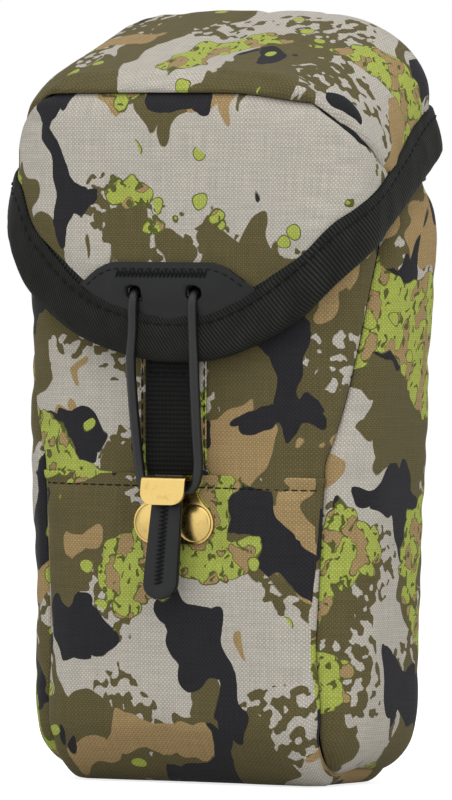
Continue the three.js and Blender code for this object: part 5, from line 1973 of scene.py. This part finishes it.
@dataclass
class LidBinding:
    """Folded tape sewn round the lid's edge, puckered where it turns and stitched near its top."""

    finishes: Finishes
    form: LidForm
    width: float = 9.9
    tape: float = 0.75
    gap: float = 0.2
    wall: float = 2.9
    puckers: float = 0.34
    stop_angle: float = 82.0

    def build(self) -> None:
        """Makes the tape and its stitches."""
        order = self._order()
        profile = self._profile()
        rows, places = [], []
        steps = self._lengths(order)
        height = 0.0
        for index, (out, up) in enumerate(profile):
            rows.append(self._row(order, out, up, index, steps))
            if index:
                height += math.dist(profile[index], profile[index - 1])
            places.append(np.stack([steps, np.full(len(order), -height)], axis=1))
        points = np.array(rows)
        piece = grid_piece("lid_binding_tape", points, np.array(places))
        weld(piece)
        dress(piece, self.finishes.tape, Body.LID, ("lid_binding",))
        self.piece = piece
        self._stitches(order)

    def _order(self) -> list[int]:
        """Stations from one end of the hinge round the front to the other."""
        loop = self.form.upright()
        count = len(loop)
        limit = math.sin(math.radians(self.stop_angle))
        reach = next(index for index in range(count) if loop[index, 3] > limit)
        return [*range(count - reach + 1, count), *range(0, reach)]

    def _lengths(self, order: Sequence[int]) -> Array:
        """Length along the tape at each station."""
        points = self.form.wall(self.form.edge_heights())[order]
        steps = np.linalg.norm(np.diff(points, axis=0), axis=1)
        return np.concatenate([[0.0], np.cumsum(steps)])

    def _profile(self) -> list[tuple[float, float]]:
        """The tape's section from the outer leg's top, round the fold, and back."""
        near, far, deep = self.gap, self.gap + self.tape, -self.wall
        return [
            (near - 0.1, self.width),
            (far - 0.25, self.width + 0.05),
            (far, self.width - 0.4),
            (far + 0.1, self.width - 1.6),
            (far - 0.05, self.width - 2.5),
            (far + 0.15, self.width - 3.6),
            (far + 0.3, self.width - 5.5),
            (far + 0.35, self.width - 7.5),
            (far + 0.25, self.width - 9.0),
            (far, -0.3),
            (far - 0.5, -1.0),
            (0.0, -1.45),
            (deep / 2, -1.55),
            (deep, -1.4),
            (deep - far + 0.5, -0.9),
            (deep - far, -0.2),
            (deep - far - 0.1, 2.0),
            (deep - far, 5.0),
            (deep - far, self.width - 0.6),
            (deep - near, self.width - 0.5),
            (deep - near, 4.0),
            (deep - near + 0.1, 0.6),
            (deep / 2, 0.0),
            (near - 0.1, 0.6),
            (near - 0.1, 4.0),
            (near - 0.1, self.width),
        ]

    def _row(self, order: Sequence[int], out: float, up: float, index: int, steps: Array) -> Array:
        """Points of one line of the section along the tape, with its puckers."""
        stretch = self.form.stretch()
        heights = self.form.edge_heights() + up * stretch
        seed = np.stack([steps / 4.2, np.full(len(order), up / 9.0), np.zeros(len(order))], axis=1)
        wave = grid_noise(seed[None] * 1.0, 1.0, 3.0)[0]
        outer = 1.0 if index < 11 else 0.35
        offset = np.zeros(len(stretch)) + out
        offset[order] += self.puckers * outer * wave
        drift = grid_noise(seed[None] * 0.25, 1.0, 11.0)[0]
        rise = np.zeros(len(stretch))
        rise[order] = drift * (0.7 if index < 11 else 0.2)
        return self.form.wall(heights + rise, offset)[order]

    def _stitches(self, order: Sequence[int]) -> None:
        """Sews the row near the tape's top edge."""
        stretch = self.form.stretch()
        heights = self.form.edge_heights() + (self.width - 2.3) * stretch
        ideal = self.form.wall(heights, self.gap + self.tape + 1.5)[order]
        tree = Surface(self.piece).trees[0]
        loop = self.form.upright()[order]
        path = []
        for point, station in zip(ideal, loop):
            start = Vector(to_metres(point).tolist()) + Vector((station[2], station[3], 0)) * 0.004
            hit = tree.ray_cast(start, -Vector((station[2], station[3], 0.0)))[0]
            place = np.array(hit) / MM if hit is not None else to_metres(point) / MM
            place[1] -= ORIGIN_SHIFT
            path.append(place)
        normals = np.stack([loop[:, 2], loop[:, 3], np.zeros(len(loop))], axis=1)
        row = StitchRow("binding_stitches", pitch=2.9, length=2.2, radius=0.26, sink=0.1)
        piece = row.make(np.array(path), normals)
        dress(piece, self.finishes.thread, Body.LID)


@dataclass
class CordPatch:
    """Leather patch on the flap through which the cord comes out, with a row of stitches."""

    finishes: Finishes
    form: LidForm
    lid: Lid
    half_top: float = 15.6
    half_width: float = 24.6
    top: float = 128.6
    side: float = 122.3
    thickness: float = 1.2
    hole_height: float = 121.0
    hole_radius: float = 1.85
    half_spacing: float = 8.2

    def build(self) -> None:
        """Makes the patch, its holes and its stitches."""
        surface = Surface(self.lid.flap)
        columns, rows = 60, 26
        x = np.linspace(-self.half_width, self.half_width, columns)
        points = np.zeros((rows, columns, 3))
        bottom = self._bottom(x)
        top = self._top(x)
        for row in range(rows):
            z = top + (bottom - top) * row / (rows - 1)
            y = np.array([surface.front(a, b) for a, b in zip(x, z)])
            points[row] = np.stack([x, y, z], axis=1)
        depth = points[..., 1]
        smooth_depth = depth.copy()
        for _ in range(12):
            middle = smooth_depth[1:-1, 1:-1]
            around = smooth_depth[:-2, 1:-1] + smooth_depth[2:, 1:-1]
            around = around + smooth_depth[1:-1, :-2] + smooth_depth[1:-1, 2:]
            smooth_depth[1:-1, 1:-1] = middle * 0.4 + around * 0.15
        under = np.exp(-np.maximum(points[..., 2] - bottom, 0.0) / 0.9)
        points[..., 1] = np.minimum(smooth_depth, depth) - 0.15 - self.thickness * (1 - 0.65 * under)
        piece = grid_piece("leather_patch", points, points[..., ::2])
        thicken(piece, self.thickness, levels=1, rounding=0.3)
        pierce(piece, self.half_spacing, self.hole_height, self.hole_radius)
        dress(piece, self.finishes.leather, Body.LID, ("cord_patch",))
        self._stitches(piece)

    def _top(self, x: Array) -> Array:
        """Height of the patch's upper edge: level in the middle, falling to both sides."""
        share = np.clip((np.abs(x) - self.half_top) / (self.half_width - self.half_top), 0.0, 1.0)
        corner = 1.6 * np.exp(-(((np.abs(x) - self.half_top) / 1.6) ** 2))
        return self.top - (self.top - self.side) * share - corner * 0.35

    def _bottom(self, x: Array) -> Array:
        """Height of the patch's lower edge, just under the binding's top."""
        loop = self.form.upright()
        front = loop[:, 3] < -0.99
        heights = self.form.edge_heights() + self.form.stretch() * 8.6
        order = np.argsort(loop[front, 0])
        edge = np.interp(x, loop[front, 0][order], heights[front][order])
        return np.minimum(edge, self._top(x) - 0.6)

    def _stitches(self, piece: bpy.types.Object) -> None:
        """Sews a row inside the patch's upper edge and sides."""
        surface = Surface(piece)
        x = np.linspace(-self.half_width + 2.2, self.half_width - 2.2, 90)
        z = self._top(x) - 1.7
        path = np.array([(a, surface.front(a, b, -36.0), b) for a, b in zip(x, z)])
        row = StitchRow("patch_stitches", pitch=2.3, length=1.8, radius=0.2, sink=0.14)
        row.sew(path, self.finishes, Slot.TAPE, Body.LID)
        x = np.arange(-12.6, 12.6, 0.55)
        normals = np.tile((0.0, -1.0, 0.0), (len(x), 1))
        path = np.array([(a, surface.front(a, self.top - 2.9, -36.0) - 0.08, self.top - 2.9) for a in x])
        sides = np.tile((0.0, 0.0, 0.75), (len(x), 1))
        bar = zigzag("patch_bar_stitches", path, sides, normals, 0.22)
        dress(bar, self.finishes.thread, Body.LID)


def zigzag(name: str, path: Array, sides: Array, normals: Array, radius: float) -> bpy.types.Object:
    """Makes a zigzag row of thread.

    Args:
        name: the row's name.
        path: the turning points' places along the row's middle.
        sides: how far each turning point lies to the side of it.
        normals: one outward normal for each point.
        radius: of the thread, in millimetres.

    Returns:
        All of the row as one piece.
    """
    pieces = []
    for index in range(len(path) - 1):
        ends = [path[index + k] + sides[index + k] * (1 if (index + k) % 2 else -1) for k in (0, 1)]
        shares = np.linspace(0.0, 1.0, 5)[:, None]
        bow = np.sin(math.pi * shares) * radius * 0.7
        points = ends[0] + (ends[1] - ends[0]) * shares + normals[index] * bow
        pieces.append(tube_piece(f"{name}_{index}", points, radius, 6))
    return joined(name, pieces)


@dataclass
class Closure:
    """Elastic cord loop, its knots behind the flap, and the leather tab folded round it."""

    finishes: Finishes
    diameter: float = 2.5
    half_spacing: float = 8.2
    hole_height: float = 121.0
    exit_y: float = -34.45
    hang: float = -36.35
    eye_y: float = -32.29
    eye_z: float = 72.65
    eye_middle: float = 1.95
    leaf: float = 0.9
    tilt: float = 9.0
    tab_length: float = 27.0
    half_top: float = 3.6
    half_bottom: float = 4.5

    def build(self) -> None:
        """Makes the cord, its knots and the tab."""
        self._cord()
        self._knots()
        self._tab()

    def _cord(self) -> None:
        """Makes the cord, from where it leaves one hole through the tab's eye to the other."""
        out = self.half_spacing
        leg = [
            (out, self.exit_y, self.hole_height),
            (out, -35.5, self.hole_height - 0.45),
            (out, self.hang - 0.2, self.hole_height - 2.6),
            (out + 0.1, self.hang, 112.0),
            (out + 0.5, self.hang, 104.0),
            (out + 0.4, self.hang + 1.1, 95.0),
            (out + 0.2, self.hang + 2.4, 87.0),
            (out, self.eye_y - 0.2, 79.5),
            (out - 0.5, self.eye_y, 75.6),
            (6.6, self.eye_y, 73.4),
            (4.6, self.eye_y, self.eye_z),
            (2.0, self.eye_y, self.eye_z),
        ]
        right = np.array(leg)
        left = right[::-1].copy()
        left[:, 0] *= -1
        route = np.concatenate([right, left])
        path = catmull_rom(route, 6)
        piece = tube_piece("elastic_cord_braid", path, self.diameter / 2, 18)
        dress(piece, self.finishes.elastic, None, ("elastic_cord",))
        start = to_metres(np.array([0.0, self.hang, 96.0]))
        end = to_metres(np.array([0.0, self.eye_y, 80.0]))
        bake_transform(piece)
        tuple(to_metres(route[0]))
        [tuple(point) for point in to_metres(path)]

    def _knots(self) -> None:
        """Makes the cord's two ends, which stay in the lid: each a knot and the run through its hole."""
        for name, sign in (("left", -1), ("right", 1)):
            turn = np.linspace(0, 2 * math.pi, 60)
            x = (np.sin(turn) + 2 * np.sin(2 * turn)) * 0.5
            z = (np.cos(turn) - 2 * np.cos(2 * turn)) * 0.5
            y = -np.sin(3 * turn) * 0.45
            path = np.stack([x + sign * self.half_spacing, y - 30.0, z + self.hole_height], axis=1)
            knot = tube_piece(f"knot_{name}", path, 0.95, 12, capped=False)
            reach = np.linspace(-30.2, self.exit_y, 6)
            run = np.stack([np.full(6, sign * self.half_spacing), reach, np.full(6, self.hole_height)], axis=1)
            piece = joined(f"cord_end_{name}", [knot, tube_piece(f"run_{name}", run, self.diameter / 2, 18)])
            dress(piece, self.finishes.elastic, Body.LID, (f"cord_knot_{name}",))

    def _place(self, across: Array, out: Array, up: Array) -> Array:
        """Points given along the leaning tab: across it, out of its face, and up it."""
        lean = math.radians(self.tilt)
        y = self.eye_y - np.asarray(out) * math.cos(lean) + np.asarray(up) * math.sin(lean)
        z = self.eye_z + np.asarray(out) * math.sin(lean) + np.asarray(up) * math.cos(lean)
        return np.stack([np.asarray(across) * np.ones_like(y), y, z], axis=-1)

    def _tab(self) -> None:
        """Makes the tab from one strip: up the back leaf, round the cord, and down the front."""
        half_leaf = self.leaf / 2
        turn = math.asin(half_leaf / self.eye_middle)
        join = -self.eye_middle * math.cos(turn)
        path = [(-half_leaf, up) for up in np.linspace(-self.tab_length, join - 0.6, 24)]
        for angle in np.linspace(math.pi + math.pi / 2 - turn, -math.pi / 2 + turn, 22):
            path.append((self.eye_middle * math.cos(angle), self.eye_middle * math.sin(angle)))
        path += [(half_leaf, up) for up in np.linspace(join - 0.6, -self.tab_length, 24)]
        rows = []
        for out, up in path:
            share = min(1.0, max(0.0, -up / self.tab_length))
            half = self.half_top + (self.half_bottom - self.half_top) * share**0.8
            rise = self.tab_length + up
            if rise < half:
                half *= math.sqrt(max(1 - ((half - rise) / half) ** 2.4, 0.02))
            across = np.linspace(-half, half, 23)
            held = float(ramp(rise, 1.5, 4.0) * ramp(-up, 1.5, 4.0))
            sunk = 0.3 * np.exp(-(((across + 0.3) / 1.5) ** 4)) * held
            dome = (0.3 * (1 - (across / half) ** 6) - sunk) * (1 if out > 0 else 0)
            rows.append(self._place(across, out + dome, np.full(23, up)))
        points = np.array(rows)
        piece = grid_piece("leather_pull_tab", points, flat_map(points))
        thicken(piece, self.leaf, rounding=0.2, centred=True)
        dress(piece, self.finishes.leather, Body.TAB, ("pull_tab",))
        self._zigzag()

    def _zigzag(self) -> None:
        """Sews the two leaves together with a zigzag down the front."""
        ups = np.arange(-3.6, -self.tab_length + 3.4, -0.52)
        count = len(ups)
        path = self._place(np.full(count, -0.3), np.full(count, self.leaf + 0.14), ups)
        sides = np.tile((0.95, 0.0, 0.0), (count, 1))
        normals = np.tile((0.0, -1.0, 0.0), (count, 1))
        piece = zigzag("tab_zigzag_stitches", path, sides, normals, 0.2)
        dress(piece, self.finishes.thread, Body.TAB)


@dataclass
class Hook:
    """Brass hook from one strip, and the two domed rivets that hold it."""

    finishes: Finishes
    back_y: float = -28.94
    thickness: float = 0.7
    lobe_radius: float = 5.2
    lobe_spacing: float = 5.75
    rivet_height: float = 64.5
    neck: float = 6.0
    top: float = 76.0
    tongue_y: float = -34.94
    tongue_length: float = 7.0
    tongue_corner: float = 3.2
    tilt: float = 9.0

    def build(self) -> None:
        """Makes the hook and its rivets."""
        self._hook()
        for name, sign in (("left", -1), ("right", 1)):
            self._rivet(name, sign)

    def _half_width(self, height: float) -> float:
        """Half width of the plate at a height: two lobes that flare from a neck."""
        lobe_top = self.rivet_height + self.lobe_radius * math.sin(math.radians(56))
        if height <= lobe_top:
            rise = height - self.rivet_height
            return self.lobe_spacing + math.sqrt(max(self.lobe_radius**2 - rise**2, 0.0))
        share = (height - lobe_top) / (self.top - 1.4 - lobe_top)
        wide = self.lobe_spacing + self.lobe_radius * math.cos(math.radians(56))
        return self.neck + (wide - self.neck) * max(0.0, 1 - share) ** 2.2

    def _hook(self) -> None:
        """Makes the strip: plate, fold over the top, and leaning tongue."""
        middle = self.back_y - self.thickness / 2
        centre_line: list[tuple[float, float, float]] = []
        low = self.rivet_height - self.lobe_radius
        for angle in np.linspace(0, math.pi / 2, 14):
            height = self.rivet_height - self.lobe_radius * math.cos(angle)
            centre_line.append((middle, height, self._half_width(max(height, low + 0.01))))
        for height in np.linspace(self.rivet_height, self.top - 1.5, 30)[1:]:
            centre_line.append((middle, height, self._half_width(height)))
        tongue = self.tongue_y - self.thickness / 2
        top = self.top - self.thickness / 2
        bend = 1.15
        for angle in np.linspace(0, math.pi / 2, 8)[1:]:
            centre_line.append(
                (middle - bend * (1 - math.cos(angle)), top - bend + bend * math.sin(angle), self.neck)
            )
        for share in np.linspace(0, 1, 8)[1:]:
            centre_line.append((middle - bend + (tongue + 2 * bend - middle) * share, top, self.neck))
        for angle in np.linspace(0, math.pi / 2, 8)[1:]:
            centre_line.append(
                (tongue + bend - bend * math.sin(angle), top - bend + bend * math.cos(angle), self.neck)
            )
        run = self.tongue_length - bend - self.thickness / 2
        for share in np.linspace(0, 1, 26)[1:]:
            down = run * share
            left = run - down
            half = self.neck
            if left < self.tongue_corner:
                fall = self.tongue_corner - left
                half = self.neck - self.tongue_corner + math.sqrt(max(self.tongue_corner**2 - fall**2, 0.0))
            lean = math.tan(math.radians(self.tilt))
            centre_line.append((tongue - lean * down, top - bend - down, half))
        rows = [
            np.stack([np.linspace(-half, half, 19), np.full(19, y), np.full(19, z)], axis=1)
            for y, z, half in centre_line
        ]
        points = np.array(rows)
        piece = grid_piece("brass_hook", points, flat_map(points))
        solid = piece.modifiers.new("thickness", "SOLIDIFY")
        solid.thickness = self.thickness * MM
        solid.offset = 0.0
        edge = piece.modifiers.new("edge", "BEVEL")
        edge.width = 0.22 * MM
        edge.segments = 3
        edge.limit_method = "ANGLE"
        edge.angle_limit = math.radians(50)
        bake(piece)
        weld(piece, 0.001)
        dress(piece, self.finishes.brass, Body.POUCH, ("hook_plate",))

    def _rivet(self, name: str, sign: int) -> None:
        """Makes one rivet head: a low dome with a rolled rim."""
        front = self.back_y - self.thickness
        profile = [
            (0.0, 1.38),
            (1.4, 1.33),
            (2.7, 1.16),
            (3.6, 0.92),
            (4.2, 0.68),
            (4.55, 0.45),
            (4.68, 0.3),
            (4.66, 0.1),
            (4.4, 0.0),
            (1.2, 0.0),
            (1.2, -5.2),
            (0.0, -5.2),
        ]
        turns = np.linspace(0, 2 * math.pi, 49)[:-1]
        rows = []
        for radius, out in profile:
            x = sign * self.lobe_spacing + max(radius, 0.002) * np.sin(turns)
            z = self.rivet_height + max(radius, 0.002) * -np.cos(turns)
            rows.append(np.stack([x, np.full(len(turns), front - out), z], axis=1))
        points = np.array(rows)
        piece = grid_piece(f"rivet_head_{name}", points, points[..., ::2], wrap=True)
        weld(piece, 0.006)
        subdivide = piece.modifiers.new("subdivide", "SUBSURF")
        subdivide.levels = 1
        bake(piece)
        smooth(piece)
        dress(piece, self.finishes.brass, Body.POUCH, (f"rivet_{name}",))


@dataclass
class Inside:
    """What shows with the lid open: the body's lining and the tape round its mouth."""

    finishes: Finishes
    form: BodyForm
    wall: float = 5.2
    tape: float = 0.7
    width: float = 6.2

    def build(self) -> None:
        """Makes the lining and the mouth's binding."""
        self._lining()
        self._binding()

    def _loop(self, height: float, offset: float) -> Array:
        """Plan loop of the body at a height, from the front middle to the right and round."""
        width, depth = self.form.half_size(height)
        radius = max(self.form.corner + offset, 2.0)
        lid = LidForm(crown=self.form.crown)
        return lid.loop(width + offset, depth + offset, depth + offset, (radius, radius))

    def _lining(self) -> None:
        """Makes the lining: walls from the mouth down to a flat floor with rounded edges."""
        rows = []
        inset = -self.wall
        for height in np.linspace(self.form.mouth_height - 0.5, 12.0, 50):
            loop = self._loop(height, inset)
            bulge = 0.35 * grid_noise(
                np.stack([loop[:, 0], loop[:, 1], np.full(len(loop), height)], axis=1)[None], 19.0, 4.0
            )[0]
            x = loop[:, 0] - loop[:, 2] * bulge
            y = loop[:, 1] - loop[:, 3] * bulge
            rows.append(np.stack([x, y, np.full(len(loop), height)], axis=1))
        base = self._loop(12.0, inset)
        for angle in np.linspace(0, math.pi / 2, 7)[1:]:
            shift = 6.0 * (1 - math.cos(angle))
            height = 12.0 - 6.0 * math.sin(angle)
            x, y = base[:, 0] - base[:, 2] * shift, base[:, 1] - base[:, 3] * shift
            rows.append(np.stack([x, y, np.full(len(base), height)], axis=1))
        last = rows[-1]
        for share in np.linspace(0, 1, 9)[1:]:
            ring = last.copy()
            ring[:, :2] *= 1 - share * 0.999
            rows.append(ring)
        points = self.form.tilted(np.array(rows))
        piece = grid_piece("body_lining_cloth", points[:, ::-1], points[:, ::-1][..., [0, 2]], wrap=True)
        weld(piece, closed=False)
        flip_faces(piece, Vector((0.0, 0.0, 0.08)), outwards=False)
        thicken(piece, 0.8)
        dress(piece, self.finishes.lining, Body.POUCH, ("body_lining",))

    def _binding(self) -> None:
        """Makes the folded tape round the mouth."""
        near, far, deep = 0.25, 0.95, -self.wall
        profile = [
            (near, -self.width),
            (far, -self.width + 0.1),
            (far + 0.15, -self.width / 2),
            (far, -0.4),
            (far - 0.4, 0.5),
            (0.0, 0.95),
            (deep / 2, 1.1),
            (deep, 0.95),
            (deep - far + 0.4, 0.5),
            (deep - far, -0.4),
            (deep - far - 0.15, -self.width / 2),
            (deep - far, -self.width + 0.1),
            (deep - near, -self.width),
            (deep - near, -1.0),
            (deep / 2, -0.3),
            (near, -1.0),
            (near, -self.width),
        ]
        rows, places = [], []
        length = 0.0
        for index, (out, up) in enumerate(profile[::-1]):
            top = self._loop(self.form.mouth_height, out)
            below = self._loop(142.0, out)
            share = max(0.0, -up) / 10.0
            x = top[:, 0] + (below[:, 0] - top[:, 0]) * share
            y = top[:, 1] + (below[:, 1] - top[:, 1]) * share
            z = self.form.mouth_height + self.form.mouth_tilt * top[:, 1] + up
            wave = grid_noise(np.stack([x, y, z], axis=1)[None], 4.5, 8.0)[0] * 0.22
            normals = top[:, 2:4]
            points = np.stack([x + normals[:, 0] * wave, y + normals[:, 1] * wave, z], axis=1)
            rows.append(points)
            if index:
                length += math.dist(profile[::-1][index], profile[::-1][index - 1])
            steps = np.linalg.norm(np.diff(points, axis=0, append=points[:1]), axis=1)
            along = np.concatenate([[0.0], np.cumsum(steps)[:-1]])
            places.append(np.stack([along, np.full(len(along), -length)], axis=1))
        piece = grid_piece("mouth_binding_tape", np.array(rows), np.array(places), wrap=True)
        weld(piece)
        dress(piece, self.finishes.tape, Body.POUCH, ("mouth_binding",))


@dataclass
class Hinge:
    """Wide tape sewn to the back of the body and of the lid, across the hinge."""

    finishes: Finishes
    half_width: float = 37.2
    low: float = 145.6
    axis: float = 159.6
    high: float = 170.0
    face: float = 28.7
    thickness: float = 0.9

    def build(self) -> None:
        """Makes the tape across the hinge, with a slight bulge along it."""
        rows, columns = 44, 40
        x = np.linspace(self.half_width, -self.half_width, columns)
        z = np.linspace(self.high, self.low, rows)
        points = np.zeros((rows, columns, 3))
        for row in range(rows):
            away = 0.35 * math.exp(-(((z[row] - self.axis) / 2.5) ** 2))
            wave = grid_noise(np.stack([x, np.full(columns, z[row]), x * 0], axis=1)[None], 6.0, 2.0)[0] * 0.15
            points[row] = np.stack([x, self.face + self.thickness + away + wave, np.full(columns, z[row])], axis=1)
        places = np.stack(np.meshgrid(-x, z), axis=-1)
        piece = grid_piece("hinge_cloth_tape", points, places)
        thicken(piece, self.thickness, rounding=0.2)
        dress(piece, self.finishes.tape, None, ("hinge_tape",))
        start = to_metres(np.array([0.0, self.face, self.axis - 2.6]))
        end = to_metres(np.array([0.0, self.face, self.axis + 2.6]))
        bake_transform(piece)
        rows = (("low", self.low + 1.8, Body.POUCH), ("high", self.high - 1.8, Body.LID))
        for name, height, body in rows:
            across = np.linspace(-self.half_width + 2, self.half_width - 2, 120)
            face = self.face + self.thickness + 0.1
            path = np.stack([across, np.full(120, face), np.full(120, height)], axis=1)
            row = StitchRow(f"hinge_stitches_{name}")
            row.sew(path, self.finishes, Slot.TAPE, body, facing=1.0)


@dataclass
class BeltLoop:
    """Wide webbing loop on the back, sewn at both ends to a cloth patch."""

    finishes: Finishes
    form: BodyForm
    pouch: Pouch
    half_width: float = 20.0
    low: float = 52.0
    high: float = 124.0
    sewn: float = 10.0
    bow_reach: float = 8.4
    slot: float = 6.0
    thickness: float = 1.8
    margin: float = 5.0

    def build(self) -> None:
        """Makes the patch, the loop and their stitches."""
        surface = Surface(self.pouch.back)
        half_patch = self.half_width + self.margin
        patch = self._sheet("belt_loop_patch_cloth", surface, half_patch, self.margin, False)
        thicken(patch, 0.6, levels=1, rounding=0.15)
        cloth = self.finishes.cloth.make((260.0, -140.0), 90.0)
        dress(patch, cloth, Body.POUCH, ("belt_loop_patch",))
        loop = self._sheet("belt_loop_webbing", surface, self.half_width, 0.0, True)
        thicken(loop, self.thickness, levels=1, rounding=0.4)
        dress(loop, self.finishes.webbing, Body.POUCH, ("belt_loop",))
        self._stitches(loop)

    def _sheet(
        self, name: str, surface: Surface, half_width: float, margin: float, bowed: bool
    ) -> bpy.types.Object:
        """Makes one sheet on the back panel, bowed out in the middle if it is the loop."""
        rows, columns = 60, 24
        x = np.linspace(half_width, -half_width, columns)
        z = np.linspace(self.high + margin, self.low - margin, rows)
        points = np.zeros((rows, columns, 3))
        for row in range(rows):
            depth = np.array([surface.back(a * 0.98, z[row], self.form.half_size(z[row])[1]) for a in x])
            depth = depth * 0.3 + depth.mean() * 0.7
            lift = 0.75
            if bowed:
                from_end = min(z[row] - self.low, self.high - z[row])
                bow = float(ramp(from_end, self.sewn, self.sewn + self.bow_reach))
                lift = 0.9 + self.thickness + bow * self.slot
            points[row] = np.stack([x, depth + lift, np.full(columns, z[row])], axis=1)
        places = np.stack(np.meshgrid(-x, z), axis=-1)
        return grid_piece(name, points, places)

    def _stitches(self, loop: bpy.types.Object) -> None:
        """Sews each end with a box and a cross."""
        surface = Surface(loop)
        inner = self.half_width - 2.0
        for name, low, high in (
            ("low", self.low + 1.6, self.low + self.sewn - 1.2),
            ("high", self.high - self.sewn + 1.2, self.high - 1.6),
        ):
            box = [(-inner, high), (-inner, low), (inner, low), (inner, high)]
            walk = _walk([*box, (-inner, high), (inner, low)], 0.7)
            path = np.array([(x, surface.back(x, z, 30.0), z) for x, z in walk])
            row = StitchRow(f"belt_loop_stitches_{name}", pitch=2.6, length=2.0)
            row.sew(path, self.finishes, Slot.WEBBING, Body.POUCH, facing=1.0)


def dress_washers(finishes: Finishes) -> None:
    """Gives the two rivet washers, which stay as the CAD made them, their brass."""
    for name in ("rivet_washer_left", "rivet_washer_right"):
        for slot in bpy.data.objects[name].material_slots:
            slot.material = finishes.brass


def main() -> None:
    """Builds every sub-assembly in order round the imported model."""
    logging.basicConfig(level=logging.INFO, format="%(name)s: %(message)s")
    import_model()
    bpy.context.scene.view_settings.view_transform = "Standard"
    Studio().build()
    finishes = Finishes.make()
    body_form, lid_form = BodyForm(), LidForm()
    pouch = Pouch(finishes, body_form, ClothSettling())
    pouch.build()
    lid = Lid(finishes, lid_form, ClothSettling(pressure=2.0, cap=1.0))
    lid.build()
    for part in (
        HemStitches(finishes, pouch),
        Strap(finishes, body_form, pouch),
        LidBinding(finishes, lid_form),
        CordPatch(finishes, lid_form, lid),
        Closure(finishes),
        Hook(finishes),
        Inside(finishes, body_form),
        Hinge(finishes),
        BeltLoop(finishes, body_form, pouch),
    ):
        part.build()
    dress_washers(finishes)


if __name__ == "__main__":
    main()
